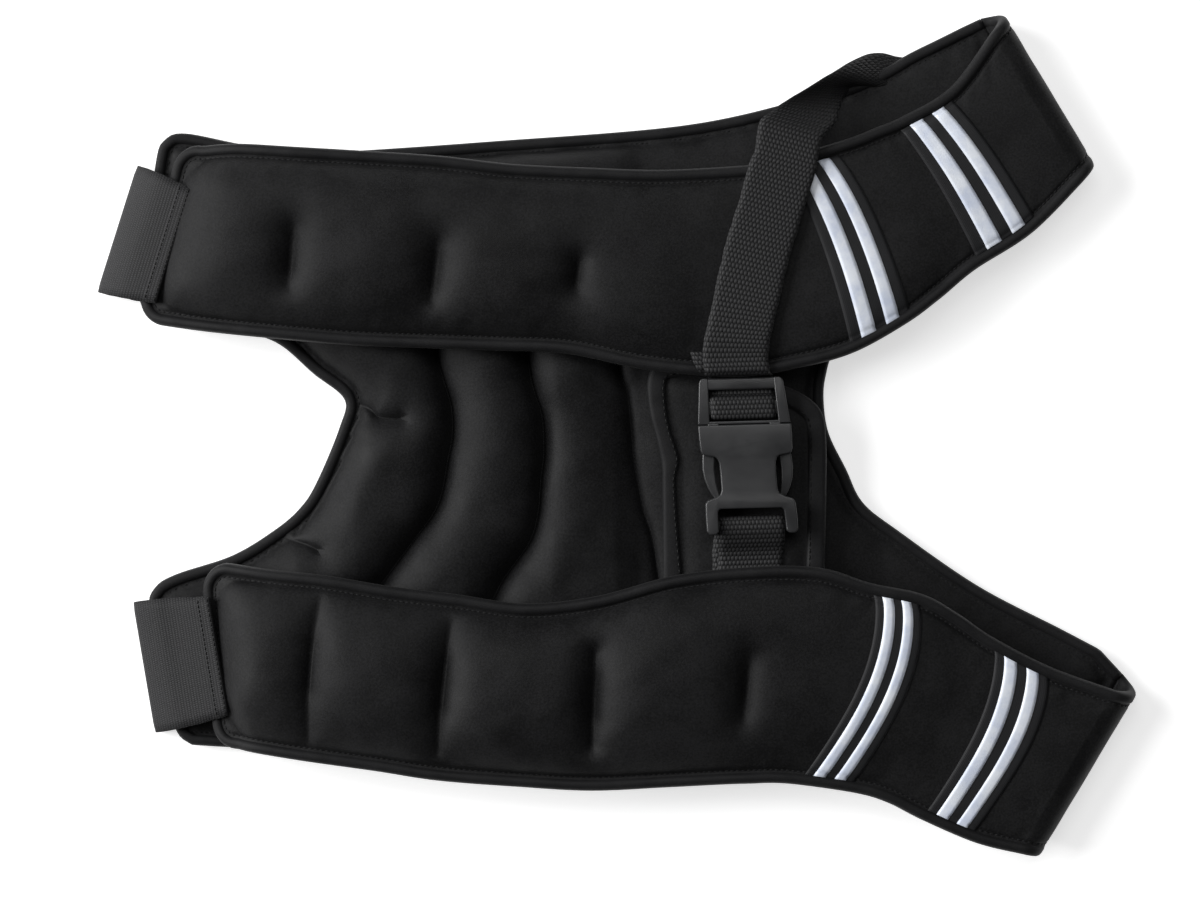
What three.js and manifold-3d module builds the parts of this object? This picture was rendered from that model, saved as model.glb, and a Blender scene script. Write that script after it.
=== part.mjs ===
// Weighted vest, lying on its back with its inner face up and its front straps folded over it.
// +X runs from the hem to the shoulders, +Y to the wearer's right, +Z up. Lengths are in millimetres.
import * as THREE from "three";
import { mergeVertices } from "three/addons/utils/BufferGeometryUtils.js";
import Module from "manifold-3d";

const wasm = await Module();
wasm.setup();

// Driving dimensions: plan
const vest_length = 560; // hem side to shoulder side, the measure of every "along" share
const vest_width = 458; // right side to left side, the measure of every "across" share
const strap_width = 102; // front strap, binding included, the measure of every "wide" share
const end_radius = 13; // rounded corners at the hem end of a front strap

// Driving dimensions: thickness and height
const cloth = 5; // quilted edge of the back and of the straps
const channel_loft = 18; // filled weight channels of the back, above the edge
const pocket_loft = 17; // filled weight pockets of a front strap, above the edge
const pocket_underside = 1.5; // the same pockets, below the edge
const pocket_shoulder = 7; // from the seam to where a pocket has half its filling
const pocket_crown = 20; // from the seam to where it has nearly all of it
const strap_lift = 33; // height of a front strap's middle plane over the channels
const clearance = 0.3; // between pieces that touch
const tape_thickness = 0.6;
const stripe_thickness = 0.4;

// Stripes on a tape, as shares of the way across it
const stripes = [
  { letter: "a", from: 0.1, to: 0.36 },
  { letter: "b", from: 0.54, to: 0.8 },
];

// Driving dimensions: binding, webbing and elastic
const binding_wall = 1.5;
const binding_gap = 0.4; // between a binding and the cloth inside it
const binding_depth = 4.5; // how far a rolled binding reaches over the cloth
const flap_tape_depth = 6.5; // the same for the flatter tape round the flap
const seam_margin = 1.5; // between a binding and the filling
const seam_width = binding_depth + seam_margin;
const seam_gap = 1.5; // between the ends of two bindings at a shoulder
const webbing_width = 35;
const webbing_thickness = 1.5;
const elastic_width = 65;
const sewn_length = 46; // from the female half's bar to the end of the lower webbing

// Driving dimensions: buckle
const buckle_width = 50;
const frame_length = 25.1; // part of the male half that shows
const frame_thickness = 8;
const body_length = 45; // female half without its legs
const prong_spread = 32; // between the middles of the prongs' tips
const body_thickness = 12;
const leg_length = 14;
const rail_width = 6.4;
const top_bar = 6.5;
const middle_bar = 7.8;
const bar_thickness = 3;
const front_wall = 1.2;
const prong_length = 36;
const prong_width = 6.5;
const prong_thickness = 3.6;
const loop_bar = 5.4;
const lower_slot = 3.7; // between the middle bar and the front wall
const buckle_turn = 4.4; // degrees that the buckle lies turned, about the middle of the male half's end
const prong_web = 1; // how far the prong swells past its root
const leg_seat = 1; // how far the legs reach into the body
const bar_inset = 2; // from the legs' ends to the bar between them
const prong_play = 2; // past the prongs' tips in the female half

// Shares of prong_length at which a prong bends, from its root
const prong_bends = { swell: 0.3, widest: 0.5, turn: 0.55, narrow: 0.8 };

// Right half of the female half's outline: x from the middle and down from its upper edge, as shares
// of half buckle_width and of body_length
const female_outline = [
  { x: 1, down: 0 },
  { x: 0.97, down: 0.32 },
  { x: 0.64, down: 0.42 },
  { x: 0.61, down: 0.78 },
  { x: 0.92, down: 0.9 },
  { x: 1, down: 1 },
];

// Heights worked out from the pieces that lie on each other
const edge_base = webbing_thickness + clearance + binding_wall + binding_gap;
const edge_top = edge_base + cloth;
const edge_middle = edge_base + cloth / 2;
const binding_rise = binding_gap + binding_wall;
const bound_half = cloth / 2 + binding_rise; // half the height of a bound edge
const flap_loft = 0.42; // share of channel_loft that the back has under the flap
const flap_middle = edge_top + channel_loft * flap_loft + 2 * clearance + bound_half;
const buckle_base = flap_middle + bound_half + clearance;
const on_flap = flap_middle + cloth / 2 + clearance + webbing_thickness / 2;
const leaf_step = webbing_thickness + clearance;
const on_strap = strap_lift + bound_half + clearance + webbing_thickness / 2;

// Colours
const neoprene = { color: 0x101013, roughness: 0.85 };
const bound_edge = { color: 0x17171a, roughness: 0.8 };
const webbing_weave = { color: 0x0d0d0f, roughness: 0.7 };
const elastic_weave = { color: 0x18181b, roughness: 0.8 };
const buckle_plastic = { color: 0x202226, roughness: 0.42 };
const tape_cloth = { color: 0x1b1c20, roughness: 0.6 };
const reflective_film = { color: 0xdfe6f2, roughness: 0.35 };

// Rows of a front strap, from the hem to the shoulder. along and across place its middle line; lean
// turns its cross line in degrees; wide is a share of strap_width; lift a share of strap_lift; puff
// and rim are the filling along the middle and beside the seams, as shares of pocket_loft.
const right_strap_rows = [
  { name: "hem", along: -0.4185, across: 0.2385, lean: -14, wide: 0.98, lift: 0.66, puff: 0.28, rim: 0.28 },
  { name: "pocket_1", along: -0.375, across: 0.235, lean: -8, wide: 1.01, lift: 0.86, puff: 1, rim: 0.9 },
  { name: "dent_1", along: -0.317, across: 0.229, lean: -4, wide: 1.02, lift: 1, puff: 0.34, rim: 0.86 },
  { name: "pocket_2", along: -0.249, across: 0.223, lean: -3, wide: 1.03, lift: 1, puff: 1, rim: 0.9 },
  { name: "dent_2", along: -0.177, across: 0.215, lean: -5, wide: 0.99, lift: 1, puff: 0.26, rim: 0.8 },
  { name: "pocket_3", along: -0.108, across: 0.211, lean: -4, wide: 0.98, lift: 1, puff: 0.95, rim: 0.85 },
  { name: "dent_3", along: -0.037, across: 0.208, lean: -6, wide: 0.99, lift: 1, puff: 0.36, rim: 0.72 },
  { name: "pocket_4", along: 0.035, across: 0.202, lean: -4, wide: 1.01, lift: 1, puff: 0.6, rim: 0.5 },
  { name: "chest_left", along: 0.115, across: 0.2005, lean: 0, wide: 1.06, lift: 1, puff: 0.22, rim: 0.2 },
  { name: "chest_right", along: 0.161, across: 0.207, lean: 7, wide: 1.06, lift: 1, puff: 0.18, rim: 0.16 },
  { name: "tape_1_start", along: 0.205, across: 0.22, lean: 13, wide: 1.08,
    lift: 0.97, puff: 0.2, rim: 0.18 },
  { name: "tape_1_end", along: 0.252, across: 0.243, lean: 16, wide: 1.03, lift: 0.9, puff: 0.2, rim: 0.18 },
  { name: "between", along: 0.281, across: 0.264, lean: 20, wide: 0.97, lift: 0.85, puff: 0.22, rim: 0.2 },
  { name: "tape_2_start", along: 0.311, across: 0.288, lean: 25, wide: 0.9,
    lift: 0.8, puff: 0.18, rim: 0.16 },
  { name: "tape_2_end", along: 0.361, across: 0.331, lean: 29, wide: 0.92, lift: 0.735, puff: 0.1, rim: 0.1 },
  { name: "shoulder", along: 0.396, across: 0.3876, lean: 31, wide: 0.97, lift: 0.73, puff: 0, rim: 0 },
];
const left_strap_rows = [
  { name: "hem", along: -0.3693, across: -0.258, lean: 4, wide: 0.99, lift: 0.7, puff: 0.28, rim: 0.28 },
  { name: "pocket_1", along: -0.339, across: -0.264, lean: -2, wide: 0.98, lift: 0.88, puff: 0.95, rim: 0.9 },
  { name: "dent_1", along: -0.287, across: -0.272, lean: -5, wide: 0.99, lift: 1, puff: 0.3, rim: 0.3 },
  { name: "pocket_2", along: -0.223, across: -0.284, lean: -5, wide: 0.98, lift: 1, puff: 1, rim: 0.92 },
  { name: "dent_2", along: -0.163, across: -0.294, lean: -6, wide: 0.99, lift: 1, puff: 0.22, rim: 0.42 },
  { name: "pocket_3", along: -0.092, across: -0.303, lean: -3, wide: 0.97, lift: 1, puff: 1, rim: 0.92 },
  { name: "dent_3", along: -0.021, across: -0.301, lean: -2, wide: 1.03, lift: 1, puff: 0.22, rim: 0.42 },
  { name: "pocket_4", along: 0.053, across: -0.287, lean: -2, wide: 1.12, lift: 1, puff: 0.95, rim: 0.88 },
  { name: "dent_4", along: 0.123, across: -0.28, lean: -4, wide: 1.15, lift: 1, puff: 0.3, rim: 0.6 },
  { name: "pocket_5", along: 0.172, across: -0.28, lean: -14, wide: 1.17, lift: 0.99, puff: 0.5, rim: 0.45 },
  { name: "tape_1_start", along: 0.211, across: -0.29, lean: -19, wide: 1.13,
    lift: 0.95, puff: 0.36, rim: 0.3 },
  { name: "tape_1_end", along: 0.264, across: -0.302, lean: -18, wide: 1.11,
    lift: 0.88, puff: 0.28, rim: 0.24 },
  { name: "between", along: 0.296, across: -0.319, lean: -20, wide: 1.07, lift: 0.83, puff: 0.22, rim: 0.2 },
  { name: "tape_2_start", along: 0.329, across: -0.343, lean: -21, wide: 1.04,
    lift: 0.78, puff: 0.16, rim: 0.16 },
  { name: "tape_2_end", along: 0.384, across: -0.372, lean: -24, wide: 1.04,
    lift: 0.74, puff: 0.06, rim: 0.06 },
  { name: "shoulder", along: 0.4286, across: -0.3836, lean: -31, wide: 1.05, lift: 0.73, puff: 0, rim: 0 },
];

// Outer edge of the back, from the right shoulder round the right tab, the hem arch and the left tab
// to the left shoulder
const back_outer_edge = [
  { along: 0.303, across: 0.462 },
  { along: 0.245, across: 0.425 },
  { along: 0.177, across: 0.397 },
  { along: 0.063, across: 0.367 },
  { along: -0.127, across: 0.348 },
  { along: -0.257, across: 0.337 },
  { along: -0.305, across: 0.335 },
  { along: -0.364, across: 0.345 },
  { along: -0.419, across: 0.358 },
  { along: -0.437, across: 0.351 },
  { along: -0.444, across: 0.33 },
  { along: -0.452, across: 0.25 },
  { along: -0.461, across: 0.174 },
  { along: -0.453, across: 0.153 },
  { along: -0.433, across: 0.141 },
  { along: -0.385, across: 0.135 },
  { along: -0.331, across: 0.118 },
  { along: -0.292, across: 0.079 },
  { along: -0.261, across: 0.047 },
  { along: -0.266, across: 0.01 },
  { along: -0.289, across: -0.057 },
  { along: -0.306, across: -0.088 },
  { along: -0.331, across: -0.114 },
  { along: -0.372, across: -0.144 },
  { along: -0.426, across: -0.166 },
  { along: -0.446, across: -0.181 },
  { along: -0.451, across: -0.205 },
  { along: -0.44, across: -0.274 },
  { along: -0.427, across: -0.34 },
  { along: -0.415, across: -0.359 },
  { along: -0.395, across: -0.363 },
  { along: -0.276, across: -0.371 },
  { along: -0.17, across: -0.387 },
  { along: -0.023, across: -0.4 },
  { along: 0.12, across: -0.392 },
  { along: 0.21, across: -0.4 },
  { along: 0.293, across: -0.433 },
  { along: 0.345, across: -0.462 },
];

// Neck edge of the back, from the left shoulder to the right one
const back_neck_edge = [
  { along: 0.428, across: -0.239 },
  { along: 0.351, across: -0.18 },
  { along: 0.274, across: -0.115 },
  { along: 0.238, across: -0.08 },
  { along: 0.221, across: -0.039 },
  { along: 0.204, across: 0.004 },
  { along: 0.199, across: 0.043 },
  { along: 0.201, across: 0.074 },
  { along: 0.211, across: 0.106 },
  { along: 0.245, across: 0.141 },
  { along: 0.303, across: 0.192 },
  { along: 0.36, across: 0.238 },
];

// Filling of the back from hem to neck, as shares of channel_loft
const back_loft_rows = [
  { along: -0.5, loft: 0.2 },
  { along: -0.365, loft: 0.28 },
  { along: -0.31, loft: 0.8 },
  { along: -0.25, loft: 1 },
  { along: -0.06, loft: 1 },
  { along: 0, loft: 0.7 },
  { along: 0.024, loft: flap_loft },
  { along: 0.2, loft: 0.32 },
  { along: 0.26, loft: 0.14 },
  { along: 0.5, loft: 0.12 },
];

// Sewn creases between the channels: each runs through its points, depth is a share of the filling
const back_creases = [
  {
    depth: 0.85,
    points: [
      { along: -0.19, across: 0.26 },
      { along: -0.175, across: 0.109 },
      { along: -0.159, across: 0.02 },
      { along: -0.166, across: -0.06 },
      { along: -0.201, across: -0.129 },
      { along: -0.25, across: -0.21 },
    ],
  },
  {
    depth: 0.85,
    points: [
      { along: -0.1, across: 0.26 },
      { along: -0.086, across: 0.098 },
      { along: -0.07, across: -0.014 },
      { along: -0.078, across: -0.1 },
      { along: -0.115, across: -0.18 },
      { along: -0.14, across: -0.26 },
    ],
  },
  {
    depth: 0.7,
    points: [
      { along: -0.01, across: 0.24 },
      { along: 0.011, across: 0.054 },
      { along: 0.026, across: -0.082 },
      { along: 0.041, across: -0.166 },
      { along: 0.05, across: -0.26 },
    ],
  },
  {
    depth: 0.5,
    points: [
      { along: -0.239, across: 0.034 },
      { along: -0.209, across: 0.023 },
    ],
  },
  {
    depth: 0.4,
    points: [
      { along: -0.305, across: -0.125 },
      { along: -0.282, across: -0.134 },
    ],
  },
];
const crease_half_width = 9;
const channel_shoulder = 24; // distance over which the filling rises from the seam
const shoulder_start = -8; // the same rise starts this far outside the seam
const crease_spacing = 24; // step at which a crease is followed

// Side bands: the middle of the sewn edge on the strap, the turn of the cross line in degrees, and
// how far the band reaches from there to its turn
const side_bands = [
  { name: "right", along: -0.426, across: 0.2258, lean: -17.5, reach: 0.061 },
  { name: "left", along: -0.3825, across: -0.2576, lean: 9.6, reach: 0.077 },
];

// A band's way from the middle of its upper leaf round to the end of its lower leaf: out is a share of
// its reach, rise a share of the height between the leaves, tilt how far it lies in the strap's plane
const band_turn = [
  { out: 0.5, rise: 1, tilt: 1 },
  { out: 0.72, rise: 0.8, tilt: 0.5 },
  { out: 0.9, rise: 0.52, tilt: 0 },
  { out: 1, rise: 0.27, tilt: 0 },
  { out: 0.97, rise: 0.08, tilt: 0 },
  { out: 0.88, rise: 0, tilt: 0 },
  { out: 0.02, rise: 0, tilt: 0 },
];

// Flap behind the buckle, from the left end of its edge round to the right end
const flap_edge = [
  { along: 0.0482, across: -0.2057 },
  { along: 0.0475, across: -0.1444 },
  { along: 0.0463, across: -0.0619 },
  { along: 0.0424, across: -0.0206 },
  { along: 0.0352, across: 0.0265 },
  { along: 0.0332, across: 0.055 },
  { along: 0.0395, across: 0.069 },
  { along: 0.0521, across: 0.0745 },
  { along: 0.1099, across: 0.069 },
  { along: 0.1639, across: 0.0548 },
  { along: 0.1851, across: 0.0442 },
  { along: 0.1975, across: 0.0265 },
  { along: 0.2015, across: -0.0029 },
  { along: 0.2015, across: -0.0737 },
  { along: 0.199, across: -0.1539 },
  { along: 0.1967, across: -0.2057 },
];
const flap_bound = { first: 1, last: 15 }; // rows between which the flap's edge is bound

// Buckle: the middle of its top edge
const buckle_place = { along: 0.1234, across: 0.0708 };

// Chest strap's tail over the right strap, its curl past the back's arm and its end under the arm.
// lean turns its cross line in plan, tilt lifts one edge, rise is measured from its height on the strap.
const tail_rows = [
  { along: 0.1157, across: 0.1126, lean: 3, tilt: 0, rise: 0.03 },
  { along: 0.1215, across: 0.1444, lean: 9, tilt: 0, rise: 0.05 },
  { along: 0.1282, across: 0.181, lean: 13, tilt: 0, rise: 0.055 },
  { along: 0.136, across: 0.2211, lean: 15, tilt: 0, rise: 0.055 },
  { along: 0.1465, across: 0.2623, lean: 16, tilt: 0, rise: 0.045 },
  { along: 0.1572, across: 0.3071, lean: 16, tilt: 0, rise: 0.01 },
  { along: 0.163, across: 0.3275, lean: 16, tilt: 0, rise: 0 },
  { along: 0.1672, across: 0.345, lean: 16, tilt: 0, rise: -0.04 },
  { along: 0.1755, across: 0.372, lean: 13, tilt: 10, rise: -0.32 },
  { along: 0.1909, across: 0.3932, lean: 4, tilt: 34, rise: -0.46 },
  { along: 0.2141, across: 0.4144, lean: -8, tilt: 34, rise: -0.5 },
  { along: 0.2411, across: 0.438, lean: -20, tilt: 14, rise: -0.6 },
  { along: 0.2507, across: 0.4522, lean: -24, tilt: 0, rise: -0.78 },
  { along: 0.2584, across: 0.4428, lean: -27, tilt: 0, rise: -0.965 },
  { along: 0.2739, across: 0.4074, lean: -27, tilt: 0, rise: -0.965 },
];
const arms_start = 0.235; // along: from here to the shoulders the back is thin and has no filling below
const sections_per_row = 2;
const fold_steps = 6;
const grid_step = 21; // spacing of the quilted back's height grid
const merge_distance = 1e-4;
const hidden_overlap = 1; // cut tools run this far past what they cut

const place = ({ along, across }, height = 0) =>
  new THREE.Vector3(along * vest_length, across * vest_width, height);
const direction = (degrees) => {
  const angle = THREE.MathUtils.degToRad(degrees);
  return new THREE.Vector3(Math.cos(angle), Math.sin(angle), 0);
};
const up = new THREE.Vector3(0, 0, 1);

// A Catmull-Rom value between the second and third of four numbers
function between(a, b, c, d, t) {
  const rise = (c - a) / 2;
  const run = (d - b) / 2;
  const near = (2 * t ** 3 - 3 * t ** 2 + 1) * b + (t ** 3 - 2 * t ** 2 + t) * rise;
  return near + (3 * t ** 2 - 2 * t ** 3) * c + (t ** 3 - t ** 2) * run;
}

// Rows with smooth rows put between them, the same number in each gap
function refine(rows, steps) {
  const fine = [];
  for (let i = 0; i < rows.length - 1; i += 1) {
    const [a, b, c] = [rows[Math.max(i - 1, 0)], rows[i], rows[i + 1]];
    const d = rows[Math.min(i + 2, rows.length - 1)];
    for (let k = 0; k < steps; k += 1) {
      const row = { name: k === 0 ? b.name : "" };
      for (const key of Object.keys(b)) {
        if (typeof b[key] === "number") row[key] = between(a[key], b[key], c[key], d[key], k / steps);
      }
      fine.push(row);
    }
  }
  fine.push(rows[rows.length - 1]);
  return fine;
}

// A value read along a table of shares
function lookUp(rows, along, key) {
  const next = rows.findIndex((row) => row.along > along);
  if (next <= 0) return rows[next === 0 ? 0 : rows.length - 1][key];
  const [low, high] = [rows[next - 1], rows[next]];
  return THREE.MathUtils.mapLinear(along, low.along, high.along, low[key], high[key]);
}

// A closed geometry from points and triangles, turned so that its faces point out
function closedGeometry(points, triangles) {
  let volume = 0;
  for (const [a, b, c] of triangles) {
    volume += points[a].dot(new THREE.Vector3().crossVectors(points[b], points[c]));
  }
  const index = triangles.flatMap(([a, b, c]) => (volume < 0 ? [a, c, b] : [a, b, c]));
  const geometry = new THREE.BufferGeometry();
  const coordinates = points.flatMap(({ x, y, z }) => [x, y, z]);
  geometry.setAttribute("position", new THREE.Float32BufferAttribute(coordinates, 3));
  geometry.setIndex(index);
  return geometry;
}

// A body skinned over sections of equal point count and capped at both ends
function skin(sections, cap = ladderCap) {
  const count = sections[0].length;
  const triangles = [];
  for (let i = 0; i < sections.length - 1; i += 1) {
    const here = i * count;
    const next = here + count;
    for (let j = 0; j < count; j += 1) {
      const k = (j + 1) % count;
      triangles.push([here + j, next + j, next + k], [here + j, next + k, here + k]);
    }
  }
  const last = (sections.length - 1) * count;
  cap(sections[0]).forEach(([a, b, c]) => triangles.push([a, b, c]));
  cap(sections[sections.length - 1]).forEach(([a, b, c]) => triangles.push([last + a, last + c, last + b]));
  return closedGeometry(sections.flat(), triangles);
}

// Cap of a section made of a face and the opposite face read backwards
function ladderCap(section) {
  const count = section.length;
  return Array.from({ length: count / 2 - 1 }, (_, i) => [
    [i, i + 1, count - 2 - i],
    [i, count - 2 - i, count - 1 - i],
  ]).flat();
}

// Cap of a bent section without three points in line
function bentCap(section) {
  const normal = new THREE.Vector3();
  section.forEach((point, i) => {
    normal.add(new THREE.Vector3().crossVectors(point, section[(i + 1) % section.length]));
  });
  normal.normalize();
  const right = new THREE.Vector3().subVectors(section[1], section[0]).normalize();
  const ahead = new THREE.Vector3().crossVectors(normal, right);
  const flat = section.map((point) => new THREE.Vector2(point.dot(right), point.dot(ahead)));
  return THREE.ShapeUtils.triangulateShape(flat, []);
}

// Boolean helpers
function toSolid(geometry) {
  const bare = geometry.clone();
  bare.deleteAttribute("normal");
  bare.deleteAttribute("uv");
  const merged = mergeVertices(bare, merge_distance);
  const mesh = new wasm.Mesh({
    numProp: 3,
    vertProperties: new Float32Array(merged.attributes.position.array),
    triVerts: new Uint32Array(merged.index.array),
  });
  return new wasm.Manifold(mesh);
}

function toGeometry(solid) {
  const mesh = solid.getMesh();
  const geometry = new THREE.BufferGeometry();
  geometry.setAttribute("position", new THREE.BufferAttribute(new Float32Array(mesh.vertProperties), 3));
  geometry.setIndex(new THREE.BufferAttribute(new Uint32Array(mesh.triVerts), 1));
  return geometry;
}

// A flat outline raised between two heights
function prism(outline, low, high) {
  const shape = new THREE.Shape(outline.map((point) => new THREE.Vector2(point.x, point.y)));
  const geometry = new THREE.ExtrudeGeometry(shape, { depth: high - low, bevelEnabled: false });
  return geometry.translate(0, 0, low);
}

function rectangle(x0, x1, y0, y1) {
  return [
    new THREE.Vector3(x0, y0, 0),
    new THREE.Vector3(x1, y0, 0),
    new THREE.Vector3(x1, y1, 0),
    new THREE.Vector3(x0, y1, 0),
  ];
}

const group = new THREE.Group();
function add(name, geometry, look) {
  const mesh = new THREE.Mesh(geometry, new THREE.MeshStandardMaterial({ metalness: 0, ...look }));
  mesh.name = name;
  group.add(mesh);
}

// Front straps: stations along the middle line, with the turn over the shoulder at the end
function strapStations(rows) {
  const fine = refine(rows, sections_per_row);
  const stations = fine.map((row) => ({
    name: row.name,
    middle: place(row, row.lift * strap_lift),
    side: direction(row.lean - 90),
    half: (row.wide * strap_width) / 2 - binding_rise,
    puff: row.puff,
    rim: row.rim,
  }));
  stations.forEach((station, i) => {
    const before = stations[Math.max(i - 1, 0)].middle;
    const after = stations[Math.min(i + 1, stations.length - 1)].middle;
    const run = new THREE.Vector3().subVectors(after, before);
    if (i === stations.length - 1) run.setZ(0);
    station.normal = new THREE.Vector3().crossVectors(station.side, run).normalize();
  });
  const hem = stations[0];
  const back = new THREE.Vector3().crossVectors(hem.side, hem.normal);
  const corner = [90, 45].map((degrees) => {
    const angle = THREE.MathUtils.degToRad(degrees);
    return {
      ...hem,
      name: "",
      middle: hem.middle.clone().addScaledVector(back, end_radius * Math.sin(angle)),
      half: hem.half - end_radius * (1 - Math.cos(angle)),
      puff: 0,
      rim: 0,
    };
  });
  hem.puff = 0;
  hem.rim = 0;
  return [...corner, ...stations, ...shoulderTurn(stations[stations.length - 1])];
}

// The half circle in which a strap turns down to the back's arm
function shoulderTurn(top) {
  const outward = new THREE.Vector3().crossVectors(up, top.side).normalize();
  const radius = (top.middle.z - edge_middle) / 2;
  return Array.from({ length: fold_steps }, (_, i) => {
    const angle = (Math.PI * (i + 1)) / fold_steps;
    const middle = top.middle.clone().addScaledVector(outward, radius * Math.sin(angle));
    middle.z -= radius * (1 - Math.cos(angle));
    const normal = outward.clone().multiplyScalar(Math.sin(angle)).addScaledVector(up, Math.cos(angle));
    return { ...top, name: "", middle, normal };
  });
}

// Places across a strap, as distances from its edges and how far the filling has risen there
const strap_columns = [
  { inset: 0, rise: 0 },
  { inset: seam_width, rise: 0 },
  { inset: seam_width + pocket_shoulder, rise: 0.55 },
  { inset: seam_width + pocket_crown, rise: 0.92 },
];

function acrossStrap(station) {
  const left = strap_columns.map(({ inset, rise }, i) => ({
    offset: -station.half + inset,
    rise,
    middle: i / strap_columns.length,
  }));
  const right = left.map((column) => ({ ...column, offset: -column.offset })).reverse();
  return [...left, { offset: 0, rise: 1, middle: 1 }, ...right];
}

// Point on a strap's top (face 1) or underside (face -1), moved off it by a distance
function strapPoint(station, column, face, off = 0) {
  const fill = THREE.MathUtils.lerp(station.rim, station.puff, column.middle ** 2) * column.rise;
  const loft = fill * (face > 0 ? pocket_loft : pocket_underside);
  return station.middle
    .clone()
    .addScaledVector(station.side, column.offset)
    .addScaledVector(station.normal, face * (cloth / 2 + loft + off));
}

function strapBody(stations) {
  return skin(
    stations.map((station) => {
      const columns = acrossStrap(station);
      const top = columns.map((column) => strapPoint(station, column, 1));
      const under = columns.map((column) => strapPoint(station, column, -1)).reverse();
      return [...top, ...under];
    }),
  );
}

// Binding: a folded tape round an edge, whose points carry an outward direction and the cloth's normal
function bindingBody(edge, depth = binding_depth) {
  const inner = cloth / 2 + binding_gap;
  const outer = inner + binding_wall;
  const profile = [
    { out: -depth, up: outer },
    { out: binding_rise, up: inner },
    { out: binding_rise, up: -inner },
    { out: -depth, up: -outer },
    { out: -depth, up: -inner },
    { out: binding_gap, up: -inner },
    { out: binding_gap, up: inner },
    { out: -depth, up: inner },
  ];
  return skin(
    edge.map(({ point, outward, normal }) =>
      profile.map(({ out, up: rise }) =>
        point.clone().addScaledVector(outward, out).addScaledVector(normal, rise),
      ),
    ),
    bentCap,
  );
}

// Outward directions along an edge, mitred at its corners
function mitred(points, normals, ring = false) {
  return points.map((point, i) => {
    const last = points.length - 1;
    const first_of_open = !ring && i === 0;
    const last_of_open = !ring && i === last;
    const before = points[i === 0 ? last : i - 1];
    const after = points[i === last ? 0 : i + 1];
    const comes = new THREE.Vector3().subVectors(point, before);
    const goes = new THREE.Vector3().subVectors(after, point);
    const arrive = first_of_open ? goes : comes;
    const leave = last_of_open ? comes : goes;
    const first = new THREE.Vector3().crossVectors(arrive, normals[i]).normalize();
    const second = new THREE.Vector3().crossVectors(leave, normals[i]).normalize();
    const outward = first.clone().add(second).normalize();
    return { point, normal: normals[i], outward: outward.divideScalar(outward.dot(first)) };
  });
}

function strapEdge(stations) {
  const edgeOf = (face) =>
    stations.map(({ middle, side, half, normal }) => ({
      at: middle.clone().addScaledVector(side, face * half),
      normal,
    }));
  const loop = [...edgeOf(-1).reverse(), ...edgeOf(1)];
  return mitred(
    loop.map(({ at }) => at),
    loop.map(({ normal }) => normal),
  );
}

// A patch of tape laid on a strap's top between two stations, within shares of the way between them
function strapPatch(stations, name, from, to, off, thickness) {
  const start = stations.findIndex((station) => station.name === `${name}_start`);
  const end = stations.findIndex((station) => station.name === `${name}_end`);
  const shares = Array.from({ length: end - start + 1 }, (_, i) => i / (end - start));
  const wanted = [from, ...shares.filter((share) => share > from && share < to), to];
  const lines = wanted.map((share) => {
    const exact = start + share * (end - start);
    const index = Math.min(Math.floor(exact), end - 1);
    const [low, high] = [stations[index], stations[index + 1]];
    const columnsHigh = acrossStrap(high).slice(1, -1);
    const pick = (face_off) =>
      acrossStrap(low)
        .slice(1, -1)
        .map((column, i) => {
          const next = strapPoint(high, columnsHigh[i], 1, face_off);
          return strapPoint(low, column, 1, face_off).lerp(next, exact - index);
        });
    return [...pick(off + thickness), ...pick(off).reverse()];
  });
  return skin(lines);
}

const straps = [
  { name: "right", rows: right_strap_rows },
  { name: "left", rows: left_strap_rows },
].map(({ name, rows }) => ({ name, stations: strapStations(rows) }));

for (const { name, stations } of straps) {
  add(`front_strap_${name}`, strapBody(stations), neoprene);
  add(`front_binding_${name}`, bindingBody(strapEdge(stations)), bound_edge);
  for (const tape of ["tape_1", "tape_2"]) {
    add(`${tape}_${name}`, strapPatch(stations, tape, 0, 1, clearance, tape_thickness), tape_cloth);
    const film = 2 * clearance + tape_thickness;
    for (const { letter, from, to } of stripes) {
      const stripe = strapPatch(stations, tape, from, to, film, stripe_thickness);
      add(`${tape}_${name}_stripe_${letter}`, stripe, reflective_film);
    }
  }
}

// Back panel: a quilted body with a flat sewn margin all round
const shoulders = Object.fromEntries(
  straps.map(({ name, stations }) => [name, stations[stations.length - 1]]),
);
const shoulderCorner = (name, face) => {
  const { middle, side, half } = shoulders[name];
  const inward = new THREE.Vector3().crossVectors(up, side).normalize().negate();
  return middle.clone().setZ(0).addScaledVector(side, face * half).addScaledVector(inward, clearance);
};
const outerCurve = refine(back_outer_edge, sections_per_row).map((row) => place(row));
const neckCurve = refine(back_neck_edge, sections_per_row).map((row) => place(row));
const backOutline = [
  shoulderCorner("right", -1),
  ...outerCurve,
  shoulderCorner("left", 1),
  shoulderCorner("left", -1),
  ...neckCurve,
  shoulderCorner("right", 1),
];
const armEnds = [backOutline.length - 1, 0, outerCurve.length + 1, outerCurve.length + 2];
const flatNormals = (points) => points.map(() => up);
const turning = Math.sign(THREE.ShapeUtils.area(backOutline));

function distanceToPath(x, y, path, ring) {
  let best = Infinity;
  const count = ring ? path.length : path.length - 1;
  for (let i = 0; i < count; i += 1) {
    const [a, b] = [path[i], path[(i + 1) % path.length]];
    const [dx, dy] = [b.x - a.x, b.y - a.y];
    const t = THREE.MathUtils.clamp(((x - a.x) * dx + (y - a.y) * dy) / (dx * dx + dy * dy), 0, 1);
    best = Math.min(best, Math.hypot(x - a.x - t * dx, y - a.y - t * dy));
  }
  return best;
}

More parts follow.
